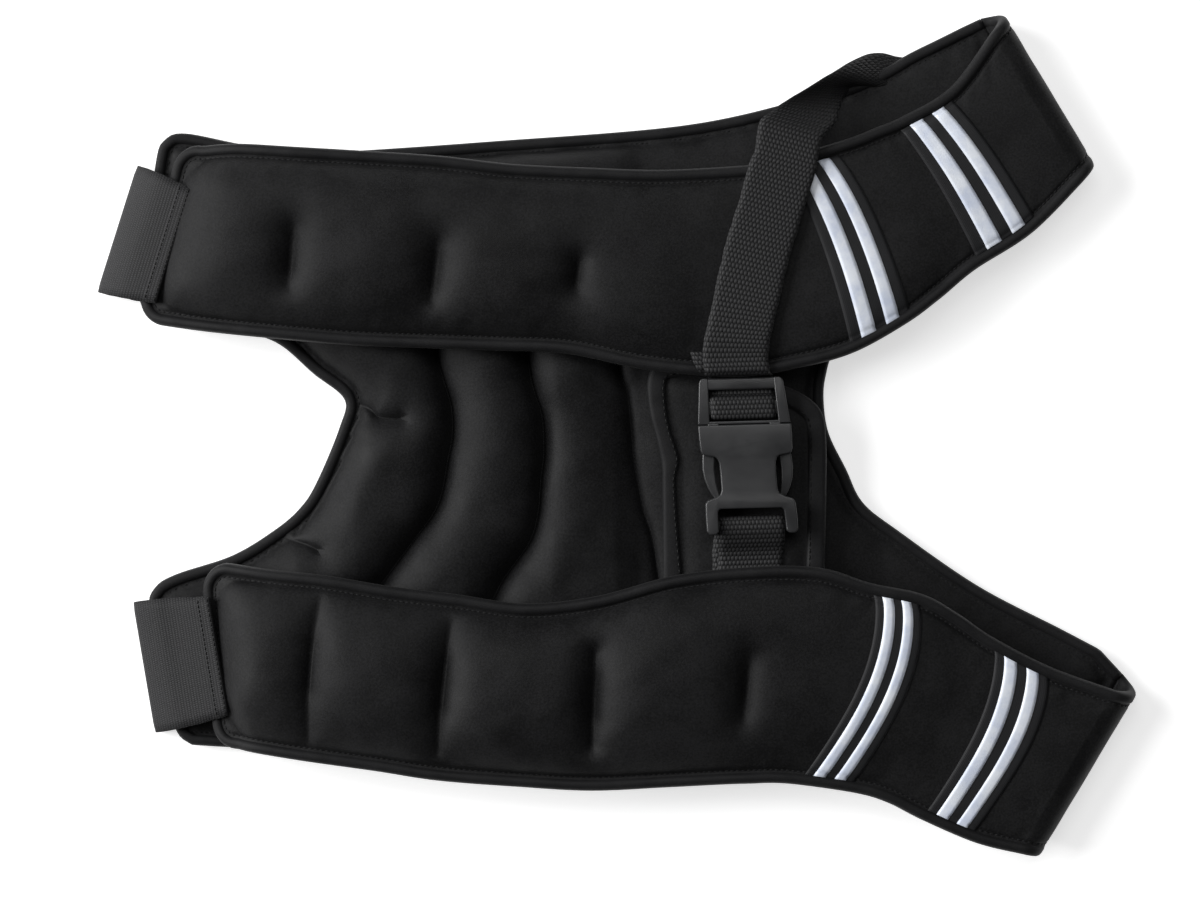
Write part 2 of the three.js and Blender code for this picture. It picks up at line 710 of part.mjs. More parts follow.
// The outline moved inwards, without the points that a tight corner would fold over
const quiltOutline = mitred(backOutline, flatNormals(backOutline), true)
  .map(({ point, outward }) => point.clone().addScaledVector(outward, -seam_width * turning))
  .filter(({ x, y }) => distanceToPath(x, y, backOutline, true) > seam_width - merge_distance);

const creasePaths = back_creases.map(({ depth, points }) => {
  const curve = new THREE.CatmullRomCurve3(points.map((row) => place(row)));
  return { depth, path: curve.getPoints(Math.ceil(curve.getLength() / crease_spacing)) };
});

function quiltTop(x, y) {
  const rim = distanceToPath(x, y, quiltOutline, true);
  const rise = THREE.MathUtils.smootherstep(rim, shoulder_start, channel_shoulder);
  let filling = lookUp(back_loft_rows, x / vest_length, "loft");
  for (const { depth, path } of creasePaths) {
    const off = distanceToPath(x, y, path, false) / crease_half_width;
    filling *= 1 - depth * Math.exp(-off * off);
  }
  return edge_top + channel_loft * filling * rise;
}

function quiltBlock() {
  const nx = Math.ceil(vest_length / grid_step);
  const ny = Math.ceil(vest_width / grid_step);
  const sections = [];
  for (let i = 0; i <= nx; i += 1) {
    const x = THREE.MathUtils.lerp(-vest_length / 2, vest_length / 2, i / nx);
    const top = Array.from({ length: ny + 1 }, (_, j) => {
      const y = THREE.MathUtils.lerp(-vest_width / 2, vest_width / 2, j / ny);
      return new THREE.Vector3(x, y, quiltTop(x, y));
    });
    const bottom = x > arms_start * vest_length ? edge_base : 0;
    sections.push([...top, ...top.map((point) => point.clone().setZ(bottom)).reverse()]);
  }
  return skin(sections);
}

// Side bands: a strip sewn over the strap's hem, turned round and sewn under the back's tab
function sideBand({ along, across, lean, reach }, stations) {
  const hem = stations.find((station) => station.name === "hem");
  const run = direction(lean).negate();
  const side = direction(lean - 90);
  const low = webbing_thickness / 2;
  const start = place({ along, across });
  const length = reach * vest_length;
  const offset = (bound_half + clearance + low) / hem.normal.z;
  const slope = (vector) => -vector.clone().setZ(0).dot(hem.normal) / hem.normal.z;
  const leafHeight = (out) => {
    const point = start.clone().addScaledVector(run, out * length).sub(hem.middle);
    return hem.middle.z + slope(point) + offset;
  };
  const top = leafHeight(0.5);
  const turn = band_turn.map(({ out, rise, tilt }) => ({
    out,
    height: THREE.MathUtils.lerp(low, top, rise),
    tilt,
  }));
  const path = [{ out: 0, height: leafHeight(0), tilt: 1 }, ...turn];
  return ribbon(
    path.map(({ out, height, tilt }) => ({
      middle: start.clone().addScaledVector(run, out * length).setZ(height),
      side: side.clone().setZ(tilt * slope(side)).normalize(),
    })),
    elastic_width,
  );
}

// A flat strip of even thickness along stations that carry a middle point and a cross direction
function ribbon(stations, width, columns = 1) {
  return skin(
    stations.map(({ middle, side }, i) => {
      const before = stations[Math.max(i - 1, 0)].middle;
      const after = stations[Math.min(i + 1, stations.length - 1)].middle;
      const run = new THREE.Vector3().subVectors(after, before);
      const normal = new THREE.Vector3().crossVectors(side, run).normalize();
      const offsets = Array.from({ length: columns + 1 }, (_, j) => width * (j / columns - 0.5));
      const off = webbing_thickness / 2;
      const face = (sign) =>
        offsets.map((offset) =>
          middle.clone().addScaledVector(side, offset).addScaledVector(normal, sign * off),
        );
      return [...face(1), ...face(-1).reverse()];
    }),
  );
}

for (const band of side_bands) {
  const { stations } = straps.find(({ name }) => name === band.name);
  add(`elastic_band_${band.name}`, sideBand(band, stations), elastic_weave);
}

// Room under each tab for the band's lower leaf
function leafRoom({ along, across, lean, reach }) {
  const run = direction(lean);
  const side = direction(lean - 90);
  const half = elastic_width / 2 + clearance;
  const centre = place({ along, across });
  const corner = (out, face) => centre.clone().addScaledVector(run, out).addScaledVector(side, face * half);
  const far = -reach * vest_length;
  const outline = [corner(far, -1), corner(clearance, -1), corner(clearance, 1), corner(far, 1)];
  return toSolid(prism(outline, -hidden_overlap, webbing_thickness + clearance));
}

let back = toSolid(prism(backOutline, edge_base, edge_top));
back = back.add(toSolid(quiltBlock()).intersect(toSolid(prism(quiltOutline, -hidden_overlap, vest_width))));
for (const band of side_bands) back = back.subtract(leafRoom(band));
add("back_panel", toGeometry(back), neoprene);

// Back bindings: one along the outer edge and one along the neck, open at the shoulders
function backBinding(from, to) {
  const wrapped = [...backOutline, backOutline[0]];
  const points = wrapped.slice(from, to + 1).map((point) => point.clone().setZ(edge_middle));
  const last = points.length - 1;
  const pull = (end, next) => {
    const ahead = points[next].clone().sub(points[end]).normalize();
    points[end].addScaledVector(ahead, seam_gap);
  };
  pull(0, 1);
  pull(last, last - 1);
  const edge = mitred(points, flatNormals(points));
  return bindingBody(edge.map((row) => ({ ...row, outward: row.outward.multiplyScalar(turning) })));
}
add("back_binding_outer", backBinding(armEnds[1], armEnds[2]), bound_edge);
add("back_binding_neck", backBinding(armEnds[3], armEnds[0]), bound_edge);

// Flap: a flat pad between the back and the buckle, bound along its sides and top
const flapCurve = flap_edge.map((row) => place(row, flap_middle));
add("buckle_flap", prism(flapCurve, flap_middle - cloth / 2, flap_middle + cloth / 2), neoprene);
const flapRim = flapCurve.slice(flap_bound.first, flap_bound.last);
const flapTurning = Math.sign(THREE.ShapeUtils.area(flapCurve));
const flapMitre = mitred(flapRim, flatNormals(flapRim)).map((row) => ({
  ...row,
  outward: row.outward.multiplyScalar(flapTurning),
}));
add("flap_binding", bindingBody(flapMitre, flap_tape_depth), bound_edge);

// Buckle: down is measured from the top edge towards the left strap
const buckleTop = place(buckle_place);
const buckleBox = (x0, x1, down0, down1, low, high) => {
  const [left, right] = [buckleTop.x + Math.min(x0, x1), buckleTop.x + Math.max(x0, x1)];
  return toSolid(prism(rectangle(left, right, buckleTop.y - down1, buckleTop.y - down0), low, high));
};
const opening = buckle_width / 2 - rail_width;
const middleEnd = frame_length - front_wall - lower_slot;
const middleStart = middleEnd - middle_bar;
const barTop = buckle_base + frame_thickness - webbing_thickness - clearance;
const prongMiddle = buckle_base + body_thickness / 2;
const bodyTop = frame_length + clearance;

function maleHalf() {
  const half = buckle_width / 2;
  const high = buckle_base + frame_thickness;
  const rails = [-1, 1].map((face) =>
    buckleBox(face * half, face * opening, 0, frame_length, buckle_base, high),
  );
  const bars = [
    buckleBox(-opening, opening, 0, top_bar, high - bar_thickness, high),
    buckleBox(-opening, opening, middleStart, middleEnd, barTop - bar_thickness, barTop),
    buckleBox(-opening, opening, frame_length - front_wall, frame_length, buckle_base, high),
  ];
  const low = prongMiddle - prong_thickness / 2;
  const { swell, widest, turn, narrow } = prong_bends;
  const prongs = [-1, 1].map((face) => {
    const outer = half - clearance;
    const root = outer - prong_width;
    const tip = prong_spread / 2 + prong_width / 2;
    const at = (x, down) => new THREE.Vector3(buckleTop.x + face * x, buckleTop.y - frame_length - down, 0);
    const outline = [
      at(root - prong_width, -front_wall),
      at(root, prong_length * turn),
      at(tip - prong_width / 2, prong_length),
      at(tip, prong_length),
      at(outer, prong_length * narrow),
      at(outer, prong_length * widest),
      at(root + prong_web, prong_length * swell),
      at(root, -front_wall),
    ];
    return toSolid(prism(face > 0 ? outline : outline.reverse(), low, low + prong_thickness));
  });
  return [...rails, ...bars, ...prongs].reduce((whole, piece) => whole.add(piece));
}

function femaleHalf() {
  const half = buckle_width / 2;
  const low = buckle_base;
  const at = ({ x, down }, face) =>
    new THREE.Vector3(buckleTop.x + face * x * half, buckleTop.y - bodyTop - down * body_length, 0);
  const right = female_outline.map((row) => at(row, 1));
  const left = female_outline.map((row) => at(row, -1)).reverse();
  let body = toSolid(prism([...right, ...left], low, low + body_thickness));
  const room = clearance + prong_thickness / 2;
  const wide = half + hidden_overlap;
  const roomEnd = bodyTop + prong_length + prong_play;
  body = body.subtract(
    buckleBox(-wide, wide, bodyTop - hidden_overlap, roomEnd, prongMiddle - room, prongMiddle + room),
  );
  const legTop = bodyTop + body_length;
  const legEnd = legTop + leg_length;
  const legs = [-1, 1].map((face) =>
    buckleBox(face * half, face * opening, legTop - leg_seat, legEnd, low, low + frame_thickness),
  );
  const barEnd = legEnd - bar_inset;
  const bar = buckleBox(-opening, opening, barEnd - loop_bar, barEnd, barTop - bar_thickness, barTop);
  return [...legs, bar].reduce((whole, piece) => whole.add(piece), body);
}

// Everything on the buckle lies turned with it
const pivot = buckleTop.clone().setY(buckleTop.y - frame_length);
const turnAngle = THREE.MathUtils.degToRad(buckle_turn);
const turned = (point) => point.clone().sub(pivot).applyAxisAngle(up, turnAngle).add(pivot);
const turnedGeometry = (solid) =>
  toGeometry(solid).translate(-pivot.x, -pivot.y, 0).rotateZ(turnAngle).translate(pivot.x, pivot.y, 0);
add("buckle_male", turnedGeometry(maleHalf()), buckle_plastic);
add("buckle_female", turnedGeometry(femaleHalf()), buckle_plastic);

// Chest webbing: sewn on the right strap's edge, round the middle bar and out over the strap
const leafLow = buckle_base + clearance + webbing_thickness / 2;
const leafHigh = leafLow + leaf_step;
const overBar = barTop + clearance + webbing_thickness / 2;
const wrap = webbing_thickness / 2 + clearance;
const bend = {
  anchor_start: -14.5,
  anchor_end: -6.5,
  edge_over: -3.9,
  edge_side: -3.3,
  edge_under: -2.6,
  below_top: 0.9,
  under_top: 3.8,
  rise_start: 1.6,
  rise_end: 0.4,
  round: 0.8,
};
const chest_path = [
  { shift: -9, down: bend.anchor_start, height: on_strap },
  { shift: -6.6, down: bend.anchor_end, height: on_strap },
  { shift: -5.8, down: bend.edge_over, height: on_strap - bend.round * webbing_thickness },
  { shift: -3.8, down: bend.edge_side, height: (on_strap + leafLow) / 2 + leaf_step },
  { shift: -0.9, down: bend.edge_under, height: leafLow + webbing_thickness },
  { shift: 0, down: -clearance, height: leafLow },
  { shift: 0, down: middleEnd - clearance, height: leafLow },
  { shift: 0, down: middleEnd + wrap + bend.rise_end, height: leafLow + leaf_step / 2 },
  { shift: 0, down: middleEnd + wrap + bend.round, height: (leafLow + overBar) / 2 },
  { shift: 0, down: middleEnd + wrap + bend.rise_end, height: overBar - bend.round },
  { shift: 0, down: middleEnd - clearance, height: overBar },
  { shift: 0, down: middleStart + clearance, height: overBar },
  { shift: 0, down: middleStart - wrap - bend.rise_end, height: overBar - bend.round },
  { shift: 0, down: middleStart - wrap - bend.rise_start, height: leafHigh + leaf_step / 2 },
  { shift: 0, down: middleStart - wrap - bend.under_top, height: leafHigh },
  { shift: 0, down: bend.below_top, height: leafHigh },
  { shift: 0, down: -bend.below_top, height: leafHigh + leaf_step },
  { shift: -1, down: -2 * bend.round, height: (on_strap + leafHigh) / 2 },
  { shift: -1.9, down: -leaf_step - bend.rise_end, height: on_strap },
  { shift: -1.7, down: -leaf_step - 3, height: on_strap + leaf_step },
  { shift: -2.3, down: -10, height: on_strap + leaf_step },
];
const crossLine = (lean, tilt = 0) => {
  const level = direction(-lean);
  const rise = THREE.MathUtils.degToRad(tilt);
  return level.multiplyScalar(Math.cos(rise)).addScaledVector(up, Math.sin(rise));
};
const onBuckle = ({ shift, down, height }) => ({
  middle: turned(new THREE.Vector3(buckleTop.x + shift, buckleTop.y - down, height)),
  side: crossLine(-buckle_turn),
});
const chestStations = chest_path.map(onBuckle);
const tailTop = on_strap + leaf_step;
const tailStations = refine(tail_rows, sections_per_row).map((row) => ({
  middle: place(row, tailTop * (1 + row.rise)),
  side: crossLine(row.lean, row.tilt),
}));
add("chest_webbing", ribbon([...chestStations, ...tailStations], webbing_width, 2), webbing_weave);

// Lower webbing: a loop round the female half's bar, both leaves sewn down under the left strap's edge
const loopMiddle = bodyTop + body_length + leg_length - bar_inset - loop_bar / 2;
const loopStart = loopMiddle - loop_bar / 2 - wrap;
const loopEnd = loopMiddle + sewn_length;
const loop_path = [
  { shift: -6, down: loopEnd, height: on_flap },
  { shift: 0, down: loopMiddle + loop_bar, height: on_flap },
  { shift: 0, down: loopMiddle, height: on_flap + leaf_step / 2 },
  { shift: 0, down: loopStart, height: barTop - bar_thickness - wrap },
  { shift: 0, down: loopStart - wrap / 2, height: barTop - bar_thickness / 2 },
  { shift: 0, down: loopStart + wrap / 2, height: barTop + wrap - clearance },
  { shift: 0, down: loopMiddle + loop_bar / 2, height: barTop + wrap },
  { shift: 0, down: loopMiddle + 1.6 * loop_bar, height: barTop - webbing_thickness },
  { shift: -2, down: loopMiddle + 3.3 * loop_bar, height: on_flap + leaf_step },
  { shift: -6, down: loopEnd, height: on_flap + leaf_step },
];
const loopStations = loop_path.map(onBuckle);
add("lower_webbing", ribbon(loopStations, webbing_width), webbing_weave);

// The origin is the middle of the whole vest's box, on the surface that it lies on
const middle = new THREE.Box3().setFromObject(group).getCenter(new THREE.Vector3());
group.position.set(-middle.x, -middle.y, 0);

export default group;
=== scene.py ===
import math

import bmesh
import bpy
import numpy as np
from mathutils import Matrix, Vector
from mathutils.geometry import delaunay_2d_cdt


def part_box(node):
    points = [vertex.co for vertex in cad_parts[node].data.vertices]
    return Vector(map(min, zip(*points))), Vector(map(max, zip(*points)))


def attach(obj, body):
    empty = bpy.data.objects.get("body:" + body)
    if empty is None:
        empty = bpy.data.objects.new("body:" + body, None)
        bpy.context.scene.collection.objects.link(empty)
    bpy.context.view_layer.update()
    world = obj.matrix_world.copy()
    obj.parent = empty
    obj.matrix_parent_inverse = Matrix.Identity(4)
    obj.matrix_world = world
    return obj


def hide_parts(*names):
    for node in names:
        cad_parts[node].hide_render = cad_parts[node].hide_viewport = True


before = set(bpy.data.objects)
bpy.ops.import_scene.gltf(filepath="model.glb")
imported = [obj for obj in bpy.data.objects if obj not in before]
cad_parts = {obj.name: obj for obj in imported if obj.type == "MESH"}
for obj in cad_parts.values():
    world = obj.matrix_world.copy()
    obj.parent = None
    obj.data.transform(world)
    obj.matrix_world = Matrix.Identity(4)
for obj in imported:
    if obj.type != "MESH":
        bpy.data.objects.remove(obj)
scene = bpy.context.scene
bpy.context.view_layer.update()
noise_seed = np.random.default_rng(11)

# Driving dimensions, in metres, as in the solids
MM = 0.001
VEST_LENGTH = 560 * MM
VEST_WIDTH = 458 * MM
STRAP_WIDTH = 102 * MM
END_RADIUS = 13 * MM
CLOTH = 5 * MM
CHANNEL_LOFT = 18 * MM
POCKET_LOFT = 17 * MM
POCKET_UNDERSIDE = 1.5 * MM
STRAP_LIFT = 33 * MM
CLEARANCE = 0.3 * MM
BINDING_WALL = 1.5 * MM
BINDING_GAP = 0.4 * MM
BINDING_DEPTH = 4.5 * MM
WEBBING_WIDTH = 35 * MM
WEBBING_THICKNESS = 1.5 * MM
ELASTIC_WIDTH = 65 * MM
SEAM_WIDTH = BINDING_DEPTH + 1.5 * MM
SEAM_LINE = SEAM_WIDTH - 0.5 * MM
SEAM_SINK = 0.6 * MM
GROOVE_DEPTH = 0.7 * MM
GROOVE_REACH = 1.1 * MM
EDGE_SPACING = 2.2 * MM
BINDING_RISE = BINDING_GAP + BINDING_WALL
BOUND_HALF = CLOTH / 2 + BINDING_RISE
EDGE_BASE = WEBBING_THICKNESS + CLEARANCE + BINDING_WALL + BINDING_GAP
EDGE_TOP = EDGE_BASE + CLOTH
EDGE_MIDDLE = EDGE_BASE + CLOTH / 2
FLAP_LOFT = 0.42
FLAP_MIDDLE = EDGE_TOP + CHANNEL_LOFT * FLAP_LOFT + CLEARANCE + BOUND_HALF + 0.3 * MM
BUCKLE_BASE = FLAP_MIDDLE + BOUND_HALF + CLEARANCE
ON_STRAP = STRAP_LIFT + BOUND_HALF + CLEARANCE + WEBBING_THICKNESS / 2
LEAF_STEP = WEBBING_THICKNESS + CLEARANCE

# The frame's origin is the middle of the vest, so the shares are placed from the flap's CAD node
BUCKLE_ALONG, BUCKLE_ACROSS = 0.1234, 0.0708
FLAP_LEFT, FLAP_TOP = 0.0332, 0.0745
flap_low, flap_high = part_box("buckle_flap")
ORIGIN_X = flap_low[0] - FLAP_LEFT * VEST_LENGTH
ORIGIN_Y = flap_high[1] - FLAP_TOP * VEST_WIDTH


def table(columns, rows):
    """Rows of a small table as dictionaries with named columns."""
    names = columns.split()
    return [dict(zip(names, row)) for row in rows]


def places(along, across, height):
    return np.stack([along * VEST_LENGTH + ORIGIN_X, across * VEST_WIDTH + ORIGIN_Y, height], axis=-1)


def place(along, across, height=0.0):
    return places(np.float64(along), np.float64(across), np.float64(height))


def directions(degrees):
    angle = np.radians(degrees)
    return np.stack([np.cos(angle), np.sin(angle), 0 * angle], axis=-1)


def direction(degrees):
    return directions(np.float64(degrees))


def unit(vectors):
    vectors = np.asarray(vectors, float)
    return vectors / np.maximum(np.linalg.norm(vectors, axis=-1, keepdims=True), 1e-12)


def smoothstep(low, high, value):
    t = np.clip((np.asarray(value, float) - low) / (high - low), 0, 1)
    return t * t * (3 - 2 * t)


# Front straps, from the hem to the shoulder: fill is the envelope of the filling, without dents
STRAP_COLUMNS = "name along across lean wide lift fill"
RIGHT_STRAP = table(STRAP_COLUMNS, [
    ("hem", -0.4185, 0.2385, -14, 0.98, 0.66, 0.5),
    ("pocket_1", -0.375, 0.235, -8, 1.01, 0.86, 0.92),
    ("dent_1", -0.317, 0.229, -4, 1.02, 1.0, 1.0),
    ("pocket_2", -0.249, 0.223, -3, 1.03, 1.0, 1.0),
    ("dent_2", -0.177, 0.2183, -5, 1.02, 1.0, 0.95),
    ("pocket_3", -0.108, 0.2121, -4, 0.99, 1.0, 0.92),
    ("dent_3", -0.037, 0.208, -6, 0.99, 1.0, 0.82),
    ("pocket_4", 0.035, 0.1975, -4, 1.058, 1.0, 0.6),
    ("chest_left", 0.115, 0.1952, 0, 1.115, 1.0, 0.22),
    ("chest_right", 0.161, 0.2028, 7, 1.1, 1.0, 0.18),
    ("tape_1_start", 0.205, 0.218, 13, 1.095, 0.97, 0.2),
    ("tape_1_end", 0.252, 0.243, 16, 1.03, 0.9, 0.2),
    ("between", 0.281, 0.264, 20, 0.97, 0.85, 0.2),
    ("tape_2_start", 0.311, 0.288, 25, 0.9, 0.8, 0.16),
    ("tape_2_end", 0.3625, 0.3277, 29, 0.886, 0.735, 0.1),
    ("shoulder", 0.407, 0.3906, 31, 0.931, 0.73, 0.05),
])
LEFT_STRAP = table(STRAP_COLUMNS, [
    ("hem", -0.3693, -0.258, 4, 0.99, 0.7, 0.5),
    ("pocket_1", -0.339, -0.264, -2, 0.98, 0.88, 0.85),
    ("dent_1", -0.287, -0.272, -5, 0.99, 1.0, 0.95),
    ("pocket_2", -0.223, -0.284, -5, 0.98, 1.0, 1.0),
    ("dent_2", -0.163, -0.294, -6, 0.99, 1.0, 1.0),
    ("pocket_3", -0.092, -0.303, -3, 0.97, 1.0, 1.0),
    ("dent_3", -0.021, -0.301, -2, 1.03, 1.0, 1.0),
    ("pocket_4", 0.053, -0.287, -2, 1.12, 1.0, 0.95),
    ("dent_4", 0.123, -0.28, -4, 1.15, 1.0, 0.72),
    ("pocket_5", 0.172, -0.28, -14, 1.17, 0.99, 0.46),
    ("tape_1_start", 0.211, -0.29, -19, 1.13, 0.95, 0.34),
    ("tape_1_end", 0.264, -0.302, -18, 1.11, 0.88, 0.27),
    ("between", 0.296, -0.319, -20, 1.07, 0.83, 0.22),
    ("tape_2_start", 0.329, -0.343, -21, 1.04, 0.78, 0.16),
    ("tape_2_end", 0.3831, -0.3745, -24, 1.0155, 0.74, 0.08),
    ("shoulder", 0.4361, -0.3949, -31, 1.006, 0.73, 0.05),
])

# Sewn dents across a strap: start and end are where the dent runs, low and high where its pit is, as
# shares of the way from the strap's upper edge in plan; the depths are shares of the filling
DENT_COLUMNS = "row start end low high valley crease pit bow"
RIGHT_DENTS = table(DENT_COLUMNS, [
    ("dent_1", 0.42, 0.73, 0.48, 0.66, 0.56, 0.2, 0.5, 4 * MM),
    ("dent_2", 0.46, 0.76, 0.52, 0.69, 0.56, 0.2, 0.5, 3 * MM),
    ("dent_3", 0.49, 0.66, 0.53, 0.62, 0.46, 0.2, 0.5, 1 * MM),
])
LEFT_DENTS = table(DENT_COLUMNS, [
    ("dent_1", 0.08, 0.94, 0.36, 0.62, 0.54, 0.28, 0.3, -3 * MM),
    ("dent_2", 0.15, 0.86, 0.36, 0.62, 0.58, 0.3, 0.42, -2 * MM),
    ("dent_3", 0.28, 0.78, 0.42, 0.62, 0.58, 0.26, 0.5, 0.0),
    ("dent_4", 0.42, 0.7, 0.46, 0.65, 0.52, 0.3, 0.5, 2 * MM),
])
VALLEY_REACH = 13 * MM
CREASE_REACH = 2.6 * MM
PIT_REACH = 5.0 * MM
END_REACH = 28 * MM

BACK_COLUMNS = "along across"
BACK_OUTER_EDGE = table(BACK_COLUMNS, [
    (0.3393, 0.485), (0.3123, 0.4686), (0.287, 0.4533), (0.245, 0.425), (0.177, 0.397),
    (0.063, 0.367), (-0.127, 0.348), (-0.257, 0.337), (-0.305, 0.335), (-0.364, 0.345),
    (-0.419, 0.358), (-0.437, 0.351), (-0.444, 0.33), (-0.452, 0.25),
    (-0.461, 0.174), (-0.453, 0.153), (-0.433, 0.141),
    (-0.385, 0.135), (-0.331, 0.118), (-0.292, 0.079), (-0.261, 0.047), (-0.266, 0.01),
    (-0.289, -0.057), (-0.306, -0.088), (-0.331, -0.114), (-0.372, -0.144), (-0.426, -0.166),
    (-0.446, -0.181), (-0.451, -0.205), (-0.44, -0.274), (-0.427, -0.34), (-0.415, -0.359),
    (-0.395, -0.363), (-0.276, -0.371), (-0.17, -0.387), (-0.023, -0.4), (0.12, -0.392),
    (0.21, -0.4), (0.293, -0.433), (0.345, -0.462),
])
BACK_NECK_EDGE = table(BACK_COLUMNS, [
    (0.469, -0.2552), (0.4305, -0.2305), (0.351, -0.18), (0.274, -0.115), (0.238, -0.08), (0.221, -0.039),
    (0.204, 0.004), (0.199, 0.043), (0.201, 0.074), (0.211, 0.106), (0.245, 0.141),
    (0.303, 0.192), (0.36, 0.238),
])
BACK_LOFT = table("along loft", [
    (-0.5, 0.2), (-0.365, 0.28), (-0.31, 0.8), (-0.25, 1.0), (-0.06, 1.0), (0.0, 0.7),
    (0.024, FLAP_LOFT), (0.2, 0.32), (0.26, 0.14), (0.5, 0.12),
])

# Sewn creases between the back's channels
BACK_CREASES = table("depth points", [
    (0.85, [(-0.19, 0.26), (-0.175, 0.109), (-0.168, 0.071), (-0.16, 0.037), (-0.159, 0.003),
            (-0.163, -0.024), (-0.169, -0.064), (-0.178, -0.091), (-0.201, -0.129), (-0.25, -0.21)]),
    (0.85, [(-0.1, 0.26), (-0.086, 0.098), (-0.079, 0.054), (-0.072, 0.027), (-0.07, -0.014),
            (-0.073, -0.051), (-0.076, -0.091), (-0.085, -0.126), (-0.115, -0.18), (-0.14, -0.26)]),
    (0.7, [(-0.01, 0.24), (0.003, 0.088), (0.011, 0.054), (0.015, 0.01), (0.018, -0.03),
           (0.026, -0.082), (0.035, -0.118), (0.041, -0.166), (0.05, -0.26)]),
    (0.5, [(-0.255, 0.042), (-0.239, 0.034), (-0.229, 0.024), (-0.209, 0.023)]),
    (0.4, [(-0.314, -0.122), (-0.3, -0.127), (-0.289, -0.133)]),
])
CREASE_VALLEY = 27 * MM
CREASE_LINE = 1.5 * MM
CREASE_SHARE = 0.75
CHANNEL_SHOULDER = 24 * MM

SIDE_BANDS = table("name along across lean reach", [
    ("right", -0.426, 0.2258, -17.5, 0.061),
    ("left", -0.3825, -0.2576, 9.6, 0.077),
])

FLAP_EDGE = table(BACK_COLUMNS, [
    (0.0482, -0.2057), (0.0485, -0.1444), (0.0483, -0.0619), (0.0474, -0.029), (0.042, 0.0004),
    (0.036, 0.0285), (0.0332, 0.06), (0.0375, 0.08), (0.05, 0.089), (0.075, 0.09), (0.11, 0.083),
    (0.15, 0.063), (0.172, 0.052), (0.187, 0.041), (0.1968, 0.0255), (0.2, -0.0029), (0.2, -0.0737),
    (0.1985, -0.1539), (0.1967, -0.2057),
])

TAIL_ROWS = table("along across lean tilt rise", [
    (0.1157, 0.1126, 3, 0, 0.03), (0.1215, 0.1444, 9, 0, 0.05), (0.1282, 0.181, 13, 0, 0.055),
    (0.136, 0.2211, 15, 0, 0.055), (0.1465, 0.2623, 16, 0, 0.045), (0.1572, 0.3071, 16, 0, 0.01),
    (0.163, 0.3275, 16, 0, 0.0),
])
# The strap's end past the right strap: its left edge (x, y, height in mm), then the turn of its cross
# line in plan and how far that line dips, in degrees
TAIL_END = table("x y height turn dip", [
    (79.0, 170.5, 38.8, -15, 2), (86.0, 176.5, 38.4, -11, 12), (93.5, 182.0, 37.5, -2, 30),
    (102.5, 187.5, 35.5, 2, 44), (112.0, 193.5, 31.5, -4, 50), (121.5, 199.5, 25.0, -18, 36),
    (130.5, 205.5, 16.0, -32, 20), (139.0, 209.8, 8.5, -44, 8), (147.5, 210.6, 4.6, -54, 2),
    (156.5, 208.6, 2.6, -58, 1), (166.0, 208.5, 1.6, -60, 0),
])


# Curves through table rows
def catmull(values, steps):
    """Catmull-Rom values between table rows, the same number in each gap, ends included."""
    values = np.asarray(values, float)
    out = []
    last = len(values) - 1
    for i in range(last):
        a, b, c, d = values[max(i - 1, 0)], values[i], values[i + 1], values[min(i + 2, last)]
        for k in range(steps):
            t = k / steps
            rise, run = (c - a) / 2, (d - b) / 2
            out.append((2 * t**3 - 3 * t**2 + 1) * b + (t**3 - 2 * t**2 + t) * rise
                       + (3 * t**2 - 2 * t**3) * c + (t**3 - t**2) * run)
    out.append(values[last])
    return np.array(out)


def run_along(points):
    """Length run along a polyline up to each of its points."""
    return np.concatenate([[0], np.cumsum(np.linalg.norm(np.diff(points, axis=0), axis=1))])


def interpolate(at, values, wanted):
    """Values between those known at some distances, for a list or for the columns of a table."""
    if values.ndim == 1:
        return np.interp(wanted, at, values)
    return np.stack([np.interp(wanted, at, values[:, i]) for i in range(values.shape[1])], 1)


def resample(points, spacing):
    """Rows put at an even spacing along a polyline, whose place is in their first three columns."""
    points = np.asarray(points, float)
    run = run_along(points[:, :3])
    count = max(2, int(round(run[-1] / spacing)) + 1)
    return interpolate(run, points, np.linspace(0, run[-1], count))


def bulge(share, steep, full):
    """Rise from 0 to 1, as stuffed cloth stands off its seam."""
    return (1 - (1 - np.clip(share, 0, 1)) ** steep) ** full


def groove(off, depth=GROOVE_DEPTH):
    """Depth of a seam's groove at a distance from its middle."""
    return -depth * np.exp(-(off / GROOVE_REACH) ** 2)


def band_between(distance, low, rise, high, fade):
    """1 between two distances, with soft ends."""
    return smoothstep(low, rise, distance) * (1 - smoothstep(high, fade, distance))


# Smooth value noise, the same on every run
NOISE_CELLS = 64
noise_values = noise_seed.random((NOISE_CELLS, NOISE_CELLS)) * 2 - 1


def noise(x, y, size):
    """Smooth noise between -1 and 1 whose features are about size across."""
    u, v = np.asarray(x) / size, np.asarray(y) / size
    i, j = np.floor(u).astype(int), np.floor(v).astype(int)
    fu, fv = u - i, v - j
    fu, fv = fu * fu * (3 - 2 * fu), fv * fv * (3 - 2 * fv)

    def corner(di, dj):
        return noise_values[(i + di) % NOISE_CELLS, (j + dj) % NOISE_CELLS]

    low = corner(0, 0) * (1 - fu) + corner(1, 0) * fu
    high = corner(0, 1) * (1 - fu) + corner(1, 1) * fu
    return low * (1 - fv) + high * fv


# Meshes
def new_object(name, data):
    made = bpy.data.objects.new(name, data)
    scene.collection.objects.link(made)
    return made


def add_piece(name, mesh, material):
    """A smooth object that rides on the part's body."""
    mesh.polygons.foreach_set("use_smooth", [True] * len(mesh.polygons))
    piece = new_object(name, mesh)
    mesh.materials.append(MATERIALS[material])
    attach(piece, "root")
    return piece


